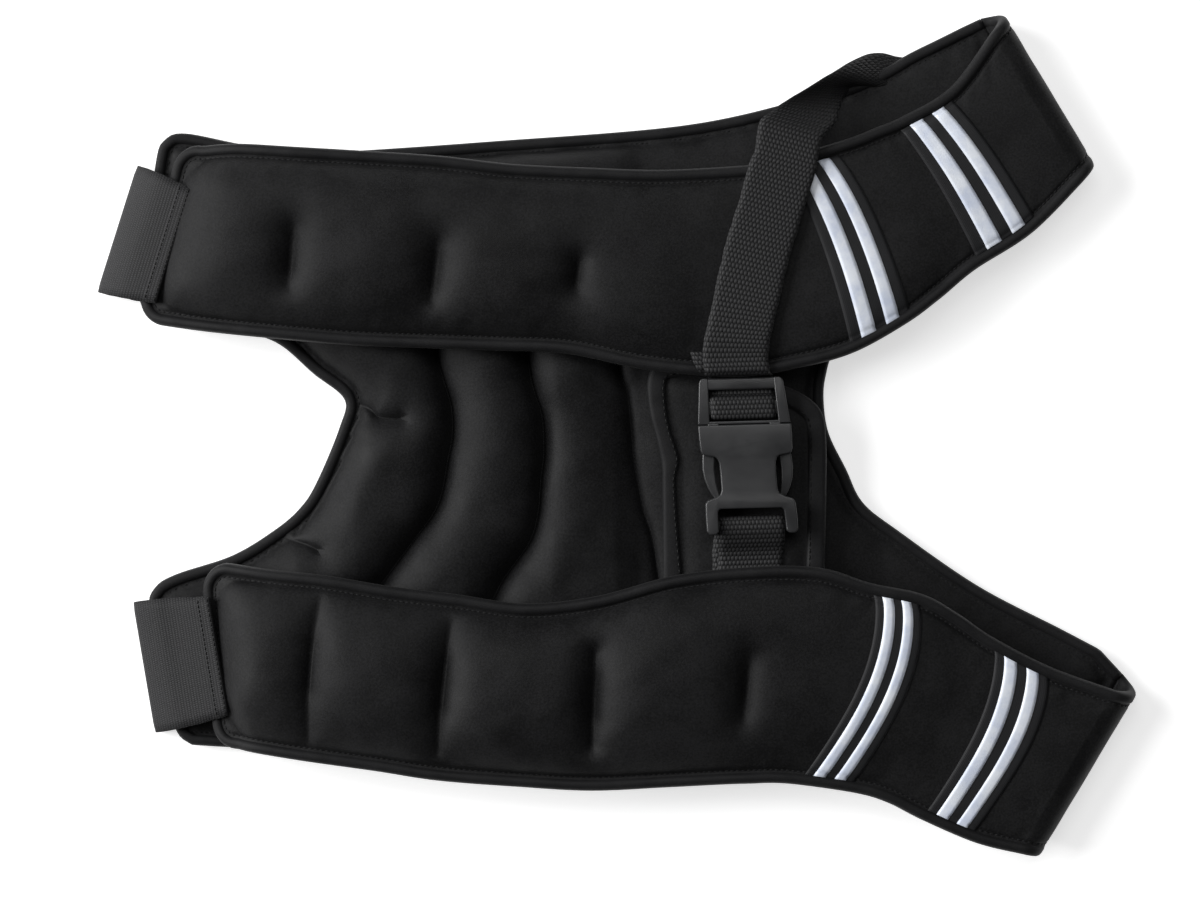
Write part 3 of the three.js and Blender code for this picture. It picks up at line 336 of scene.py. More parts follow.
def make_piece(name, vertices, faces, material, uv=None):
    """A piece made from points and faces, all faces turned outward."""
    mesh = bpy.data.meshes.new(name)
    mesh.from_pydata([tuple(v) for v in vertices], [], [tuple(f) for f in faces])
    mesh.validate()
    if uv is not None:
        layer = mesh.uv_layers.new(name="cloth")
        corners = np.empty(len(mesh.loops), dtype=int)
        mesh.loops.foreach_get("vertex_index", corners)
        layer.data.foreach_set("uv", np.asarray(uv, float)[corners].ravel())
    piece = add_piece(name, mesh, material)
    work = bmesh.new()
    work.from_mesh(mesh)
    bmesh.ops.recalc_face_normals(work, faces=work.faces)
    work.to_mesh(mesh)
    work.free()
    return piece


def grid_faces(rows, columns, start=0, flip=False, wrap=False):
    faces = []
    for i in range(rows - 1):
        for j in range(columns if wrap else columns - 1):
            k = (j + 1) % columns
            a, b = start + i * columns + j, start + i * columns + k
            c, d = start + (i + 1) * columns + k, start + (i + 1) * columns + j
            faces.append((a, b, c, d) if flip else (a, d, c, b))
    return faces


def closed_sheet(name, top, bottom, material, uv=None):
    """A body between two grids of points that share their shape."""
    rows, columns = top.shape[:2]
    size = rows * columns
    faces = grid_faces(rows, columns) + grid_faces(rows, columns, size, flip=True)
    rim = [(i, 0) for i in range(rows)] + [(rows - 1, j) for j in range(1, columns)]
    rim += [(i, columns - 1) for i in range(rows - 2, -1, -1)] + [(0, j) for j in range(columns - 2, 0, -1)]
    index = [i * columns + j for i, j in rim]
    for a, b in zip(index, index[1:] + index[:1]):
        faces.append((a, a + size, b + size, b))
    vertices = np.concatenate([top.reshape(-1, 3), bottom.reshape(-1, 3)])
    both = None if uv is None else np.concatenate([uv.reshape(-1, 2)] * 2)
    return make_piece(name, vertices, faces, material, both)


def swept(name, sections, material, uv=None):
    """A body skinned over closed sections of equal point count, capped at both ends."""
    sections = np.asarray(sections)
    rows, columns = sections.shape[:2]
    faces = grid_faces(rows, columns, wrap=True)
    faces.append(tuple(range(columns)))
    faces.append(tuple((rows - 1) * columns + j for j in reversed(range(columns))))
    return make_piece(name, sections.reshape(-1, 3), faces, material, uv)


# Materials
def new_material(name, color, roughness, specular):
    material = bpy.data.materials.new(name)
    material.use_nodes = True
    shader = material.node_tree.nodes["Principled BSDF"]
    shader.inputs["Base Color"].default_value = (*color, 1)
    shader.inputs["Roughness"].default_value = roughness
    shader.inputs["Specular IOR Level"].default_value = specular
    return material, material.node_tree, shader


def link(tree, *pairs):
    for source, target in pairs:
        tree.links.new(source, target)


def node(tree, kind, **values):
    made = tree.nodes.new(kind)
    for key, value in values.items():
        if key in made.inputs:
            made.inputs[key].default_value = value
        else:
            setattr(made, key, value)
    return made


def math_node(tree, operation, first, second=None):
    made = node(tree, "ShaderNodeMath", operation=operation)
    for socket, value in zip(made.inputs, (first, second)):
        if value is None:
            continue
        if isinstance(value, (int, float)):
            socket.default_value = value
        else:
            tree.links.new(value, socket)
    return made.outputs[0]


def noise_node(tree, vector, scale, detail=2.0, roughness=0.5):
    made = node(tree, "ShaderNodeTexNoise", Scale=scale, Detail=detail, Roughness=roughness)
    tree.links.new(vector, made.inputs["Vector"])
    return made.outputs["Fac"]


def blend_colors(tree, factor, dark, light, target):
    mix = node(tree, "ShaderNodeMix", data_type="RGBA")
    mix.inputs[6].default_value = (*dark, 1)
    mix.inputs[7].default_value = (*light, 1)
    link(tree, (factor, mix.inputs[0]), (mix.outputs[2], target))


def span(tree, value, low, high, to_low=0.0, to_high=1.0):
    made = node(tree, "ShaderNodeMapRange")
    for socket, number in zip(list(made.inputs)[1:5], (low, high, to_low, to_high)):
        socket.default_value = number
    tree.links.new(value, made.inputs[0])
    return made.outputs[0]


def bump(tree, shader, height, distance, strength=1.0, before=None):
    made = node(tree, "ShaderNodeBump", Strength=strength, Distance=distance)
    tree.links.new(height, made.inputs["Height"])
    if before is not None:
        tree.links.new(before, made.inputs["Normal"])
    tree.links.new(made.outputs[0], shader.inputs["Normal"])
    return made.outputs[0]


def cloth_material(name, dark, light, roughness, grain, depth):
    """Smooth-faced foam cloth: a fine knitted grain, soft mottling and rubbed paler patches."""
    material, tree, shader = new_material(name, dark, roughness, 0.2)
    shader.inputs["Sheen Weight"].default_value = 0.03
    shader.inputs["Sheen Roughness"].default_value = 0.5
    spot = node(tree, "ShaderNodeTexCoord").outputs["Object"]
    fine = noise_node(tree, spot, grain, 4.0, 0.65)
    broad = noise_node(tree, spot, 34.0, 4.0, 0.6)
    parts = [math_node(tree, "MULTIPLY", fac, share) for fac, share in ((fine, 0.62), (broad, 0.38))]
    tone = math_node(tree, "ADD", *parts)
    blend_colors(tree, span(tree, tone, 0.42, 0.6), dark, light, shader.inputs["Base Color"])
    vary_roughness(tree, shader, broad, roughness - 0.06, roughness + 0.08)
    first = bump(tree, shader, broad, 0.5 * MM, 0.25)
    bump(tree, shader, fine, depth, 0.55, first)
    return material


def yarn_arch(tree, place_in_cells):
    """Height of a rounded yarn over its cell: 1 in the middle and 0 at both borders."""
    inside = math_node(tree, "SUBTRACT", math_node(tree, "FRACT", place_in_cells), 0.5)
    doubled = math_node(tree, "ABSOLUTE", math_node(tree, "MULTIPLY", inside, 2.0))
    squared = math_node(tree, "POWER", doubled, 2.0)
    return math_node(tree, "SUBTRACT", 1.0, squared)


def woven_material(name, dark, light, roughness, pitch_across, pitch_along, depth, shift):
    """Webbing or elastic: rounded yarn crossings, each row shifted against the one before by a share of
    its pitch, worked out from the distance along and across the strip. The colour follows the yarn height:
    painted shade in the hollows between yarns and painted highlight on their crests."""
    material, tree, shader = new_material(name, dark, roughness, 0.3)
    uv = node(tree, "ShaderNodeUVMap", uv_map="cloth").outputs[0]
    parts = node(tree, "ShaderNodeSeparateXYZ")
    link(tree, (uv, parts.inputs[0]))
    rows = math_node(tree, "DIVIDE", parts.outputs[1], pitch_along)
    odd = math_node(tree, "FLOORED_MODULO", math_node(tree, "FLOOR", rows), 2.0)
    cells = math_node(tree, "DIVIDE", parts.outputs[0], pitch_across)
    cells = math_node(tree, "ADD", cells, math_node(tree, "MULTIPLY", odd, shift))
    both = math_node(tree, "ADD", yarn_arch(tree, cells), yarn_arch(tree, rows))
    height = math_node(tree, "POWER", math_node(tree, "MULTIPLY", both, 0.5), 1.7)
    wear = noise_node(tree, uv, 900.0, 2.0)
    # Colour from yarn height: painted shade between the yarns, painted highlight on the crests, varied at
    # random by the wear noise
    tone = math_node(tree, "MULTIPLY", height, span(tree, wear, 0.3, 0.7, 0.6, 1.1))
    blend_colors(tree, tone, dark, light, shader.inputs["Base Color"])
    bump(tree, shader, height, depth, 0.8)
    return material


def vary_roughness(tree, shader, broad, low, high):
    link(tree, (span(tree, broad, 0.3, 0.7, low, high), shader.inputs["Roughness"]))


def plastic_material(name, dark, light, roughness):
    material, tree, shader = new_material(name, dark, roughness, 0.6)
    spot = node(tree, "ShaderNodeTexCoord").outputs["Object"]
    fine = noise_node(tree, spot, 2600.0, 2.0)
    broad = noise_node(tree, spot, 60.0, 3.0)
    blend_colors(tree, span(tree, broad, 0.3, 0.7), dark, light, shader.inputs["Base Color"])
    vary_roughness(tree, shader, broad, roughness - 0.05, roughness + 0.07)
    bump(tree, shader, fine, 0.05 * MM, 0.35)
    return material


def film_material(name, dark, light):
    """Reflective film: pale, faintly blue, with a fine beaded grain and slight scuffs."""
    material, tree, shader = new_material(name, light, 0.34, 0.5)
    spot = node(tree, "ShaderNodeTexCoord").outputs["Object"]
    beads = node(tree, "ShaderNodeTexVoronoi", Scale=1900.0)
    link(tree, (spot, beads.inputs["Vector"]))
    broad = noise_node(tree, spot, 70.0, 4.0, 0.65)
    blend_colors(tree, span(tree, broad, 0.35, 0.62), dark, light, shader.inputs["Base Color"])
    bump(tree, shader, beads.outputs["Distance"], 0.08 * MM, 0.4)
    return material


MATERIALS = {}
for row in table("name dark light roughness grain depth", [
    ("neoprene", (0.0020, 0.0020, 0.0023), (0.0108, 0.0108, 0.0115), 0.6, 900.0, 0.24 * MM),
    ("edge_binding", (0.0052, 0.0052, 0.0058), (0.0118, 0.0118, 0.0126), 0.6, 1500.0, 0.1 * MM),
]):
    MATERIALS[row["name"]] = cloth_material(**row)
# For the woven strips, dark is the painted shade between the yarns and light the painted highlight on their
# crests
for row in table("name dark light roughness pitch_across pitch_along depth shift", [
    ("webbing", (0.0012, 0.0012, 0.0014), (0.027, 0.027, 0.0285), 0.55, 2.1 * MM, 2.6 * MM, 0.5 * MM, 0.5),
    ("elastic", (0.0016, 0.0016, 0.0018), (0.034, 0.034, 0.036), 0.65, 1.1 * MM, 1.7 * MM, 0.25 * MM, 0.5),
    ("tape", (0.007, 0.007, 0.008), (0.018, 0.0185, 0.0205), 0.6, 0.9 * MM, 0.9 * MM, 0.1 * MM, 0.5),
]):
    MATERIALS[row["name"]] = woven_material(**row)
MATERIALS["buckle_plastic"] = plastic_material(
    "buckle_plastic", (0.020, 0.0203, 0.0215), (0.030, 0.0305, 0.032), 0.33)
MATERIALS["reflective_film"] = film_material("reflective_film", (0.66, 0.72, 0.86), (0.86, 0.9, 0.97))


# Places along the front straps
FINE_STEP = 1.4 * MM
TABLE_STEPS = 40
TURN_STEPS = 20
FOLD_SKEW = 10 * MM
LEVEL_REACH = 16 * MM
CORNER_STEPS = 8
EDGE_INSETS = np.array([0, 1.4, 2.8, 4.0, 4.9, 5.6, 6.2, 6.9, 7.7, 8.8, 10.2, 12, 14, 16.5, 19]) * MM
MIDDLE_COLUMNS = 15
UP = np.array([0.0, 0.0, 1.0])
ROW_KEYS = ("along", "across", "lean", "wide", "lift", "fill")


def strap_stations(rows):
    """Even stations along a strap: the hem's rounded end, the strap itself and its turn at the shoulder."""
    fine = catmull([[row[key] for key in ROW_KEYS] for row in rows], TABLE_STEPS)
    line = places(fine[:, 0], fine[:, 1], fine[:, 4] * STRAP_LIFT)
    run = run_along(line)
    marks = {row["name"]: run[i * TABLE_STEPS] for i, row in enumerate(rows)}
    s = np.linspace(0, run[-1], int(run[-1] / FINE_STEP) + 1)
    data = interpolate(run, fine, s)
    middle = interpolate(run, line, s)
    side = directions(data[:, 2] - 90)
    half = data[:, 3] * STRAP_WIDTH / 2 - BINDING_RISE
    normal = unit(np.cross(side, np.gradient(middle, axis=0)))
    level = smoothstep(s[-1] - LEVEL_REACH, s[-1], s)[:, None]
    normal = unit(normal * (1 - level) + UP * level)
    back = np.cross(side[0], normal[0])
    angles = np.radians(np.linspace(90, 0, CORNER_STEPS, endpoint=False))
    hem = {
        "middle": middle[0] + back * (END_RADIUS * np.sin(angles))[:, None],
        "side": np.repeat(side[:1], CORNER_STEPS, 0),
        "normal": np.repeat(normal[:1], CORNER_STEPS, 0),
        "half": half[0] - END_RADIUS * (1 - np.cos(angles)),
        "full": np.full(CORNER_STEPS, half[0]),
        "s": -END_RADIUS * np.sin(angles),
        "fill": np.full(CORNER_STEPS, data[0, 5]),
    }
    outward = unit(np.cross(UP, side[-1]))
    radius = (middle[-1, 2] - EDGE_MIDDLE) / 2
    skewed = -side[-1] * FOLD_SKEW
    angles = np.pi * np.arange(1, TURN_STEPS + 1) / TURN_STEPS
    turned = middle[-1] + outward * (radius * np.sin(angles))[:, None]
    turned = turned - UP * (radius * (1 - np.cos(angles)))[:, None] + skewed * (angles / np.pi)[:, None]
    turn = {
        "middle": turned,
        "side": np.repeat(side[-1:], TURN_STEPS, 0),
        "normal": outward * np.sin(angles)[:, None] + UP * np.cos(angles)[:, None],
        "half": np.full(TURN_STEPS, half[-1]),
        "full": np.full(TURN_STEPS, half[-1]),
        "s": s[-1] + radius * angles,
        "fill": np.zeros(TURN_STEPS),
    }
    main = {"middle": middle, "side": side, "normal": normal, "half": half, "full": half, "s": s,
            "fill": data[:, 5]}
    stations = {key: np.concatenate([hem[key], main[key], turn[key]]) for key in main}
    stations["marks"] = marks
    return stations


def strap_grid(st):
    """Offsets across each station, from its top edge in plan to its lower one."""
    inner = np.linspace(0, 1, MIDDLE_COLUMNS + 1)[1:]
    start = EDGE_INSETS[-1]
    left = np.concatenate([
        np.repeat(EDGE_INSETS[None, :], len(st["half"]), 0),
        start + (st["half"][:, None] - start) * inner[None, :],
    ], 1) - st["half"][:, None]
    return np.concatenate([left, -left[:, -2::-1]], 1)


PUCKER = 6.5 * MM


def strap_fill(st, offset, dents):
    """Filling at each place of a strap as a share of the pocket's loft, with its dents and pulls."""
    s = st["s"][:, None] + 0 * offset
    full = st["full"][:, None]
    aside = full - np.abs(offset)
    ahead = s + END_RADIUS
    corner = END_RADIUS - np.hypot(END_RADIUS - aside, END_RADIUS - ahead)
    edge = np.where((aside < END_RADIUS) & (ahead < END_RADIUS), corner, np.minimum(aside, ahead))
    from_side = 1 - np.clip((aside - SEAM_WIDTH) / (full - SEAM_WIDTH), 0, 1)
    from_end = 1 - np.clip((ahead - SEAM_WIDTH) / END_REACH, 0, 1)
    closeness = (from_side ** 4 + from_end ** 4) ** (2.3 / 4)
    rise = (1 - np.clip(closeness, 0, 1)) ** 0.66
    fill = st["fill"][:, None] * rise
    share = (offset + full) / (2 * full)
    for dent in dents:
        bowed = s - st["marks"][dent["row"]] - dent["bow"] * (1 - (2 * share - 1) ** 2)
        away = []
        for first, last in (("start", "end"), ("low", "high")):
            past = np.maximum(np.maximum(dent[first] - share, share - dent[last]), 0)
            away.append(np.hypot(bowed, past * 2 * full))
        fill = fill * (1 - dent["valley"] * np.exp(-(away[0] / VALLEY_REACH) ** 1.1))
        fill = fill * (1 - dent["crease"] * np.exp(-away[0] / CREASE_REACH))
        fill = fill * (1 - dent["pit"] * np.exp(-away[1] / PIT_REACH))
    return fill, edge


def strap_surface(st, offset, dents, seed):
    """Top and underside of a strap over a grid of offsets."""
    fill, edge = strap_fill(st, offset, dents)
    s = st["s"][:, None] + seed
    soft = np.clip(fill, 0, 1)
    inside = smoothstep(SEAM_WIDTH, SEAM_WIDTH + 14 * MM, edge)
    near_seam = band_between(edge, SEAM_WIDTH - 1 * MM, SEAM_WIDTH + 2 * MM, 9 * MM, 22 * MM)
    lumps = noise(s, offset, 27 * MM) * 0.75 * MM + noise(s + 1, offset * 1.3, 13 * MM) * 0.3 * MM
    along_edge = s + 0.4 * offset
    puckers = noise(along_edge, offset * 0.25 + 3, PUCKER) * 0.34 * MM
    top = CLOTH / 2 + POCKET_LOFT * fill + lumps * inside * (0.35 + soft) + puckers * near_seam
    top = top + groove(edge - SEAM_LINE)
    under = CLOTH / 2 + POCKET_UNDERSIDE * fill
    spot = st["middle"][:, None] + st["side"][:, None] * offset[..., None]
    across_up = st["normal"][:, None]
    return spot + across_up * top[..., None], spot - across_up * under[..., None]


BINDING_SIDES = 18
FLATTEN = 0.34


def rounded(wave, power):
    """A sine or cosine whose curve is squared off by a power below 1."""
    return np.sign(wave) * np.abs(wave) ** power


def rolled_binding(name, points, normals, outward, seed, depth=BINDING_DEPTH, boxy=0.8, flat=0.0):
    """Binding rolled round a cloth edge, with the slight puckers of its seam."""
    depth = np.zeros((len(points), 1)) + np.reshape(depth, (-1, 1))
    angles = np.linspace(0, 2 * np.pi, BINDING_SIDES, endpoint=False)
    reach, height = (BINDING_RISE + depth) / 2, BOUND_HALF - 0.1 * MM
    centre = (BINDING_RISE - depth) / 2
    out = centre + reach * rounded(np.cos(angles), boxy)
    lift = height * rounded(np.sin(angles), boxy)
    run = run_along(points)
    swell = 1 + 0.05 * noise(run, run * 0 + seed, 7 * MM) + 0.05 * noise(run, run * 0 + seed + 5, 23 * MM)
    up = lift[None, :] * (swell * (1 - FLATTEN * flat))[:, None]
    sections = points[:, None] + outward[:, None] * out[..., None] + normals[:, None] * up[..., None]
    return swept(name, sections, "edge_binding")


STITCH_RINGS = [(-0.5, 0.35), (-0.3, 1.0), (0.3, 1.0), (0.5, 0.35)]
STITCH_SIDES = 6


def stitch_line(points, normals, pitch=3.0 * MM, length=2.1 * MM, radius=0.32 * MM, lift=0.12 * MM):
    """Vertices and faces of a row of small rounded stitches that lie along a line."""
    both = resample(np.concatenate([points, normals], 1), pitch)
    spots, ups = both[:, :3], unit(both[:, 3:])
    tangents = unit(np.gradient(spots, axis=0))
    sides = unit(np.cross(tangents, ups))
    vertices, faces = [], []
    turns = np.linspace(0, 2 * np.pi, STITCH_SIDES, endpoint=False)
    for spot, upward, ahead, aside in zip(spots, ups, tangents, sides):
        start = len(vertices)
        for share, size in STITCH_RINGS:
            for turn in turns:
                vertices.append(spot + ahead * share * length + aside * np.cos(turn) * radius * size * 1.2
                                + upward * (lift + np.sin(turn) * radius * size))
        last = start + (len(STITCH_RINGS) - 1) * STITCH_SIDES
        faces += grid_faces(len(STITCH_RINGS), STITCH_SIDES, start, wrap=True)
        faces.append(tuple(start + j for j in range(STITCH_SIDES)))
        faces.append(tuple(last + j for j in reversed(range(STITCH_SIDES))))
    return vertices, faces


def stitches(name, lines, material="edge_binding", **sizes):
    """One piece made of several rows of stitches."""
    vertices, faces = [], []
    for points, normals in lines:
        more, these = stitch_line(points, normals, **sizes)
        faces += [tuple(i + len(vertices) for i in face) for face in these]
        vertices += more
    return make_piece(name, vertices, faces, material)


VIEW_WIDTH = 648 * MM
VIEW_CENTRE = (-6.7 * MM, -5.9 * MM)
CAMERA_HEIGHT = 2.3
CAMERA_PLANE = 28 * MM
SENSOR = 36.0
camera_data = bpy.data.cameras.new("camera")
camera_data.sensor_width = SENSOR
camera_data.lens = SENSOR * CAMERA_HEIGHT / VIEW_WIDTH
camera_data.clip_start = 0.05
camera = new_object("camera", camera_data)
camera.location = (*VIEW_CENTRE, CAMERA_HEIGHT + CAMERA_PLANE)
scene.camera = camera
scene.view_settings.view_transform = "Standard"

LIGHTS = table("name place size power", [
    ("key", (-3.8, 0.9, 2.3), (3.0, 3.0), 262.0),
    ("top", (0.1, 0.9, 2.0), (1.4, 1.0), 10.0),
])
for row in LIGHTS:
    lamp = bpy.data.lights.new(row["name"], "AREA")
    lamp.shape = "RECTANGLE"
    lamp.size, lamp.size_y = row["size"]
    lamp.energy = row["power"]
    lamp_object = new_object(row["name"], lamp)
    lamp_object.location = row["place"]
    aim = Vector((0, 0, 0)) - Vector(row["place"])
    lamp_object.rotation_euler = aim.to_track_quat("-Z", "Y").to_euler()

world = bpy.data.worlds.new("studio")
scene.world = world
world.use_nodes = True
background = world.node_tree.nodes["Background"]
background.inputs["Color"].default_value = (1, 1, 1, 1)
background.inputs["Strength"].default_value = 0.08

FLOOR_HALF = 6.0
floor_mesh = bpy.data.meshes.new("floor")
floor_corners = [(x * FLOOR_HALF, y * FLOOR_HALF, 0) for x, y in ((-1, -1), (1, -1), (1, 1), (-1, 1))]
floor_mesh.from_pydata(floor_corners, [], [(0, 1, 2, 3)])
floor = new_object("floor", floor_mesh)
floor_material, _, floor_shader = new_material("floor", (0.93, 0.93, 0.93), 0.9, 0.1)
floor_shader.inputs["Emission Color"].default_value = (1, 1, 1, 1)
floor_shader.inputs["Emission Strength"].default_value = 0.6
floor.data.materials.append(floor_material)


# Front straps with their bindings, seams and tapes
TAPE_COLUMNS = "name start end upper lower bow"
TAPES = table(TAPE_COLUMNS, [
    ("tape_1", -5.1, -0.7, -9.5, 5.0, 4.5), ("tape_2", -2.8, -1.0, -2.5, 6.2, 2.4),
])
LEFT_TAPES = table(TAPE_COLUMNS, [
    ("tape_1", 2.0, -1.9, 1.6, -1.9, 9.5), ("tape_2", 2.3, -0.7, 1.2, -1.4, 7.0),
])
TAPE_THICKNESS = 0.6 * MM
STRIPE_THICKNESS = 0.4 * MM
STRIPES = (("a", 0.18, 0.42), ("b", 0.6, 0.82))
STATION_KEYS = ("middle", "side", "normal", "half", "full", "fill")


TAPE_STEP = 1.6 * MM
TAPE_INSET = BINDING_DEPTH - 0.4 * MM
TAPE_COUNT = 56
TAPE_WEAVE = 90 * MM


def patch(name, st, dents, seed, start, end, tape, low, thickness, material):
    """A tape laid on a strap's top between two distances along it."""
    rows = max(3, int((end - start) / TAPE_STEP) + 1)
    shares = np.linspace(0, 1, TAPE_COUNT)
    along = np.linspace(start, end, rows)
    half = np.interp(along, st["s"], st["half"])
    offset = (2 * shares[None, :] - 1) * (half[:, None] - TAPE_INSET)
    shift = tape["bow"] * np.sin(np.pi * shares ** 0.8)
    shift = shift + tape["upper"] * (1 - shares) + tape["lower"] * shares
    bent = along[:, None] + shift[None, :] * MM
    top = np.empty((rows, len(shares), 3))
    for j in range(len(shares)):
        line = {key: interpolate(st["s"], st[key], bent[:, j]) for key in STATION_KEYS}
        line["s"] = bent[:, j]
        line["marks"] = st["marks"]
        line["side"], line["normal"] = unit(line["side"]), unit(line["normal"])
        top[:, j] = strap_surface(line, offset[:, j:j + 1], dents, seed)[0][:, 0]
        top[:, j] += line["normal"] * low
    normals = surface_normals(top)
    ends = np.minimum(np.arange(rows), np.arange(rows)[::-1])[:, None]
    thick = thickness * np.where(ends == 0, 0.35, 1.0)[..., None]
    uv = np.stack(np.broadcast_arrays(shares[None, :] * TAPE_WEAVE, along[:, None]), -1)
    return closed_sheet(name, top + normals * thick, top, material, uv)


def surface_normals(grid):
    normals = unit(np.cross(np.gradient(grid, axis=0), np.gradient(grid, axis=1)))
    return normals * np.sign(np.median(normals[..., 2]))


strap_ends = {}
for side_name, rows, dents, tapes, seed in (
    ("right", RIGHT_STRAP, RIGHT_DENTS, TAPES, 0.3),
    ("left", LEFT_STRAP, LEFT_DENTS, LEFT_TAPES, 1.7),
):
    st = strap_stations(rows)
    offsets = strap_grid(st)
    top, under = strap_surface(st, offsets, dents, seed)
    strap = closed_sheet(f"strap_{side_name}", top, under, "neoprene")
    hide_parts(f"front_strap_{side_name}")
    upper_edge = st["middle"] - st["side"] * st["half"][:, None]
    lower_edge = st["middle"] + st["side"] * st["half"][:, None]
    loop = np.concatenate([upper_edge[::-1], lower_edge])
    loop_normals = np.concatenate([st["normal"][::-1], st["normal"]])
    both = resample(np.concatenate([loop, loop_normals], 1), EDGE_SPACING)
    edge, edge_normals = both[:, :3], unit(both[:, 3:])
    outward = unit(np.cross(np.gradient(edge, axis=0), edge_normals))
    if outward[len(edge) // 4] @ st["side"][len(st["side"]) // 2] >= 0:
        outward = -outward
    turned = 1 - smoothstep(0.2, 0.85, edge_normals[:, 2])
    binding = rolled_binding(f"binding_{side_name}", edge, edge_normals, outward, seed, flat=turned)
    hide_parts(f"front_binding_{side_name}")
    seam = edge - outward * SEAM_LINE + edge_normals * (CLOTH / 2 - SEAM_SINK)
    stitches(f"stitches_{side_name}", [(seam[3:-3], edge_normals[3:-3])])
    for tape in tapes:
        tape_marks = [st["marks"][f"{tape['name']}_{part}"] for part in ("start", "end")]
        start, end = tape_marks[0] + tape["start"] * MM, tape_marks[1] + tape["end"] * MM
        length = end - start
        name = f"{tape['name']}_{side_name}"
        cloth_tape = patch(f"{name}_cloth", st, dents, seed, start, end, tape, CLEARANCE * 0.5,
                           TAPE_THICKNESS, "tape")
        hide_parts(name)
        for letter, low, high in STRIPES:
            film = patch(f"{name}_film_{letter}", st, dents, seed, start + low * length,
                         start + high * length, tape, CLEARANCE + TAPE_THICKNESS, STRIPE_THICKNESS,
                         "reflective_film")
            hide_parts(f"{name}_stripe_{letter}")
    strap_ends[side_name] = {key: st[key][-1] for key in ("middle", "side", "half")}
    strap_ends[side_name]["hem"] = {key: st[key][CORNER_STEPS] for key in ("middle", "normal")}


# Back panel
def curve(rows, steps=14):
    fine = catmull([[row["along"], row["across"]] for row in rows], steps)
    return places(fine[:, 0], fine[:, 1], 0 * fine[:, 0])[:, :2]


def shoulder_corner(name, face):
    end = strap_ends[name]
    inward = -unit(np.cross(UP, end["side"]))
    return (end["middle"] + end["side"] * face * end["half"] + inward * CLEARANCE)[:2]


PLAN_STEP = 2.4 * MM


def back_edge(first, rows, last):
    """An edge of the back between two shoulder corners, in plan."""
    line = np.concatenate([[shoulder_corner(*first)], curve(rows), [shoulder_corner(*last)]])
    return resample(line, PLAN_STEP)


outer_edge = back_edge(("right", -1), BACK_OUTER_EDGE, ("left", 1))
neck_edge = back_edge(("left", -1), BACK_NECK_EDGE, ("right", 1))
back_outline = np.concatenate([outer_edge, neck_edge])


def path_distance(points, path):
    """Distance in plan from each point to a polyline."""
    a, b = path[:-1], path[1:]
    d = b - a
    length = np.maximum((d * d).sum(1), 1e-18)
    best = np.full(len(points), np.inf)
    for start in range(0, len(points), 2000):
        p = points[start:start + 2000, None]
        t = np.clip(((p - a) * d).sum(2) / length, 0, 1)
        best[start:start + 2000] = np.sqrt((((a + t[..., None] * d) - p) ** 2).sum(2)).min(1)
    return best


def inside_outline(points, outline):
    x, y = points[:, 0], points[:, 1]
    inside = np.zeros(len(points), bool)
    for (x0, y0), (x1, y1) in zip(outline, np.roll(outline, -1, 0)):
        crosses = (y0 > y) != (y1 > y)
        if crosses.any():
            inside ^= crosses & (x < (x1 - x0) * (y - y0) / (y1 - y0 + 1e-18) + x0)
    return inside


def plan_mesh(outline, spacing, lines=()):
    """Points and triangles that fill an outline in plan, with points along given lines. The outline's
    points come first."""
    low, high = outline.min(0), outline.max(0)
    rows = np.arange(low[1], high[1], spacing * 0.866)
    grid = np.array([(x + (i % 2) * spacing / 2, y) for i, y in enumerate(rows)
                     for x in np.arange(low[0], high[0], spacing)])
    grid = grid[inside_outline(grid, outline)]
    closed = np.concatenate([outline, outline[:1]])
    grid = grid[path_distance(grid, closed) > spacing * 0.55]
    for line in lines:
        aside = unit(np.gradient(line, axis=0))[:, ::-1] * [1, -1]
        rows = np.concatenate([line + aside * shift for shift in CREASE_ROWS])
        rows = rows[inside_outline(rows, outline)]
        rows = rows[path_distance(rows, closed) > spacing * 0.7]
        grid = grid[path_distance(grid, line) > CREASE_ROWS[-1] + spacing * 0.5]
        grid = np.concatenate([grid, rows])
    points = np.concatenate([outline, grid])
    ring = list(range(len(outline)))
    made = delaunay_2d_cdt([Vector(p) for p in points], [], [ring], 1, 1e-7)
    return np.array([tuple(v) for v in made[0]]), [tuple(f) for f in made[2]]


def boundary_loop(faces):
    """Directed edges that belong to one triangle only."""
    seen = set()
    for face in faces:
        for a, b in zip(face, face[1:] + face[:1]):
            seen.add((a, b))
    return [(a, b) for a, b in seen if (b, a) not in seen]


def plan_body(name, plan, faces, top, bottom, material):
    """A closed body over a plan mesh, between two heights at each point."""
    count = len(plan)
    vertices = np.concatenate([np.column_stack([plan, top]), np.column_stack([plan, bottom])])
    all_faces = list(faces) + [tuple(i + count for i in reversed(face)) for face in faces]
    all_faces += [(a, a + count, b + count, b) for a, b in boundary_loop(faces)]
    return make_piece(name, vertices, all_faces, material)


def level_edge(line, height, outline):
    """An edge at one height, with its upward normals and its direction out of an outline."""
    points = np.column_stack([line, np.full(len(line), height)])
    outward = np.cross(unit(np.gradient(points, axis=0)), UP)
    if inside_outline(points[:, :2] + outward[:, :2] * 3 * MM, outline).mean() > 0.5:
        outward = -outward
    return points, np.repeat(UP[None], len(points), 0), outward


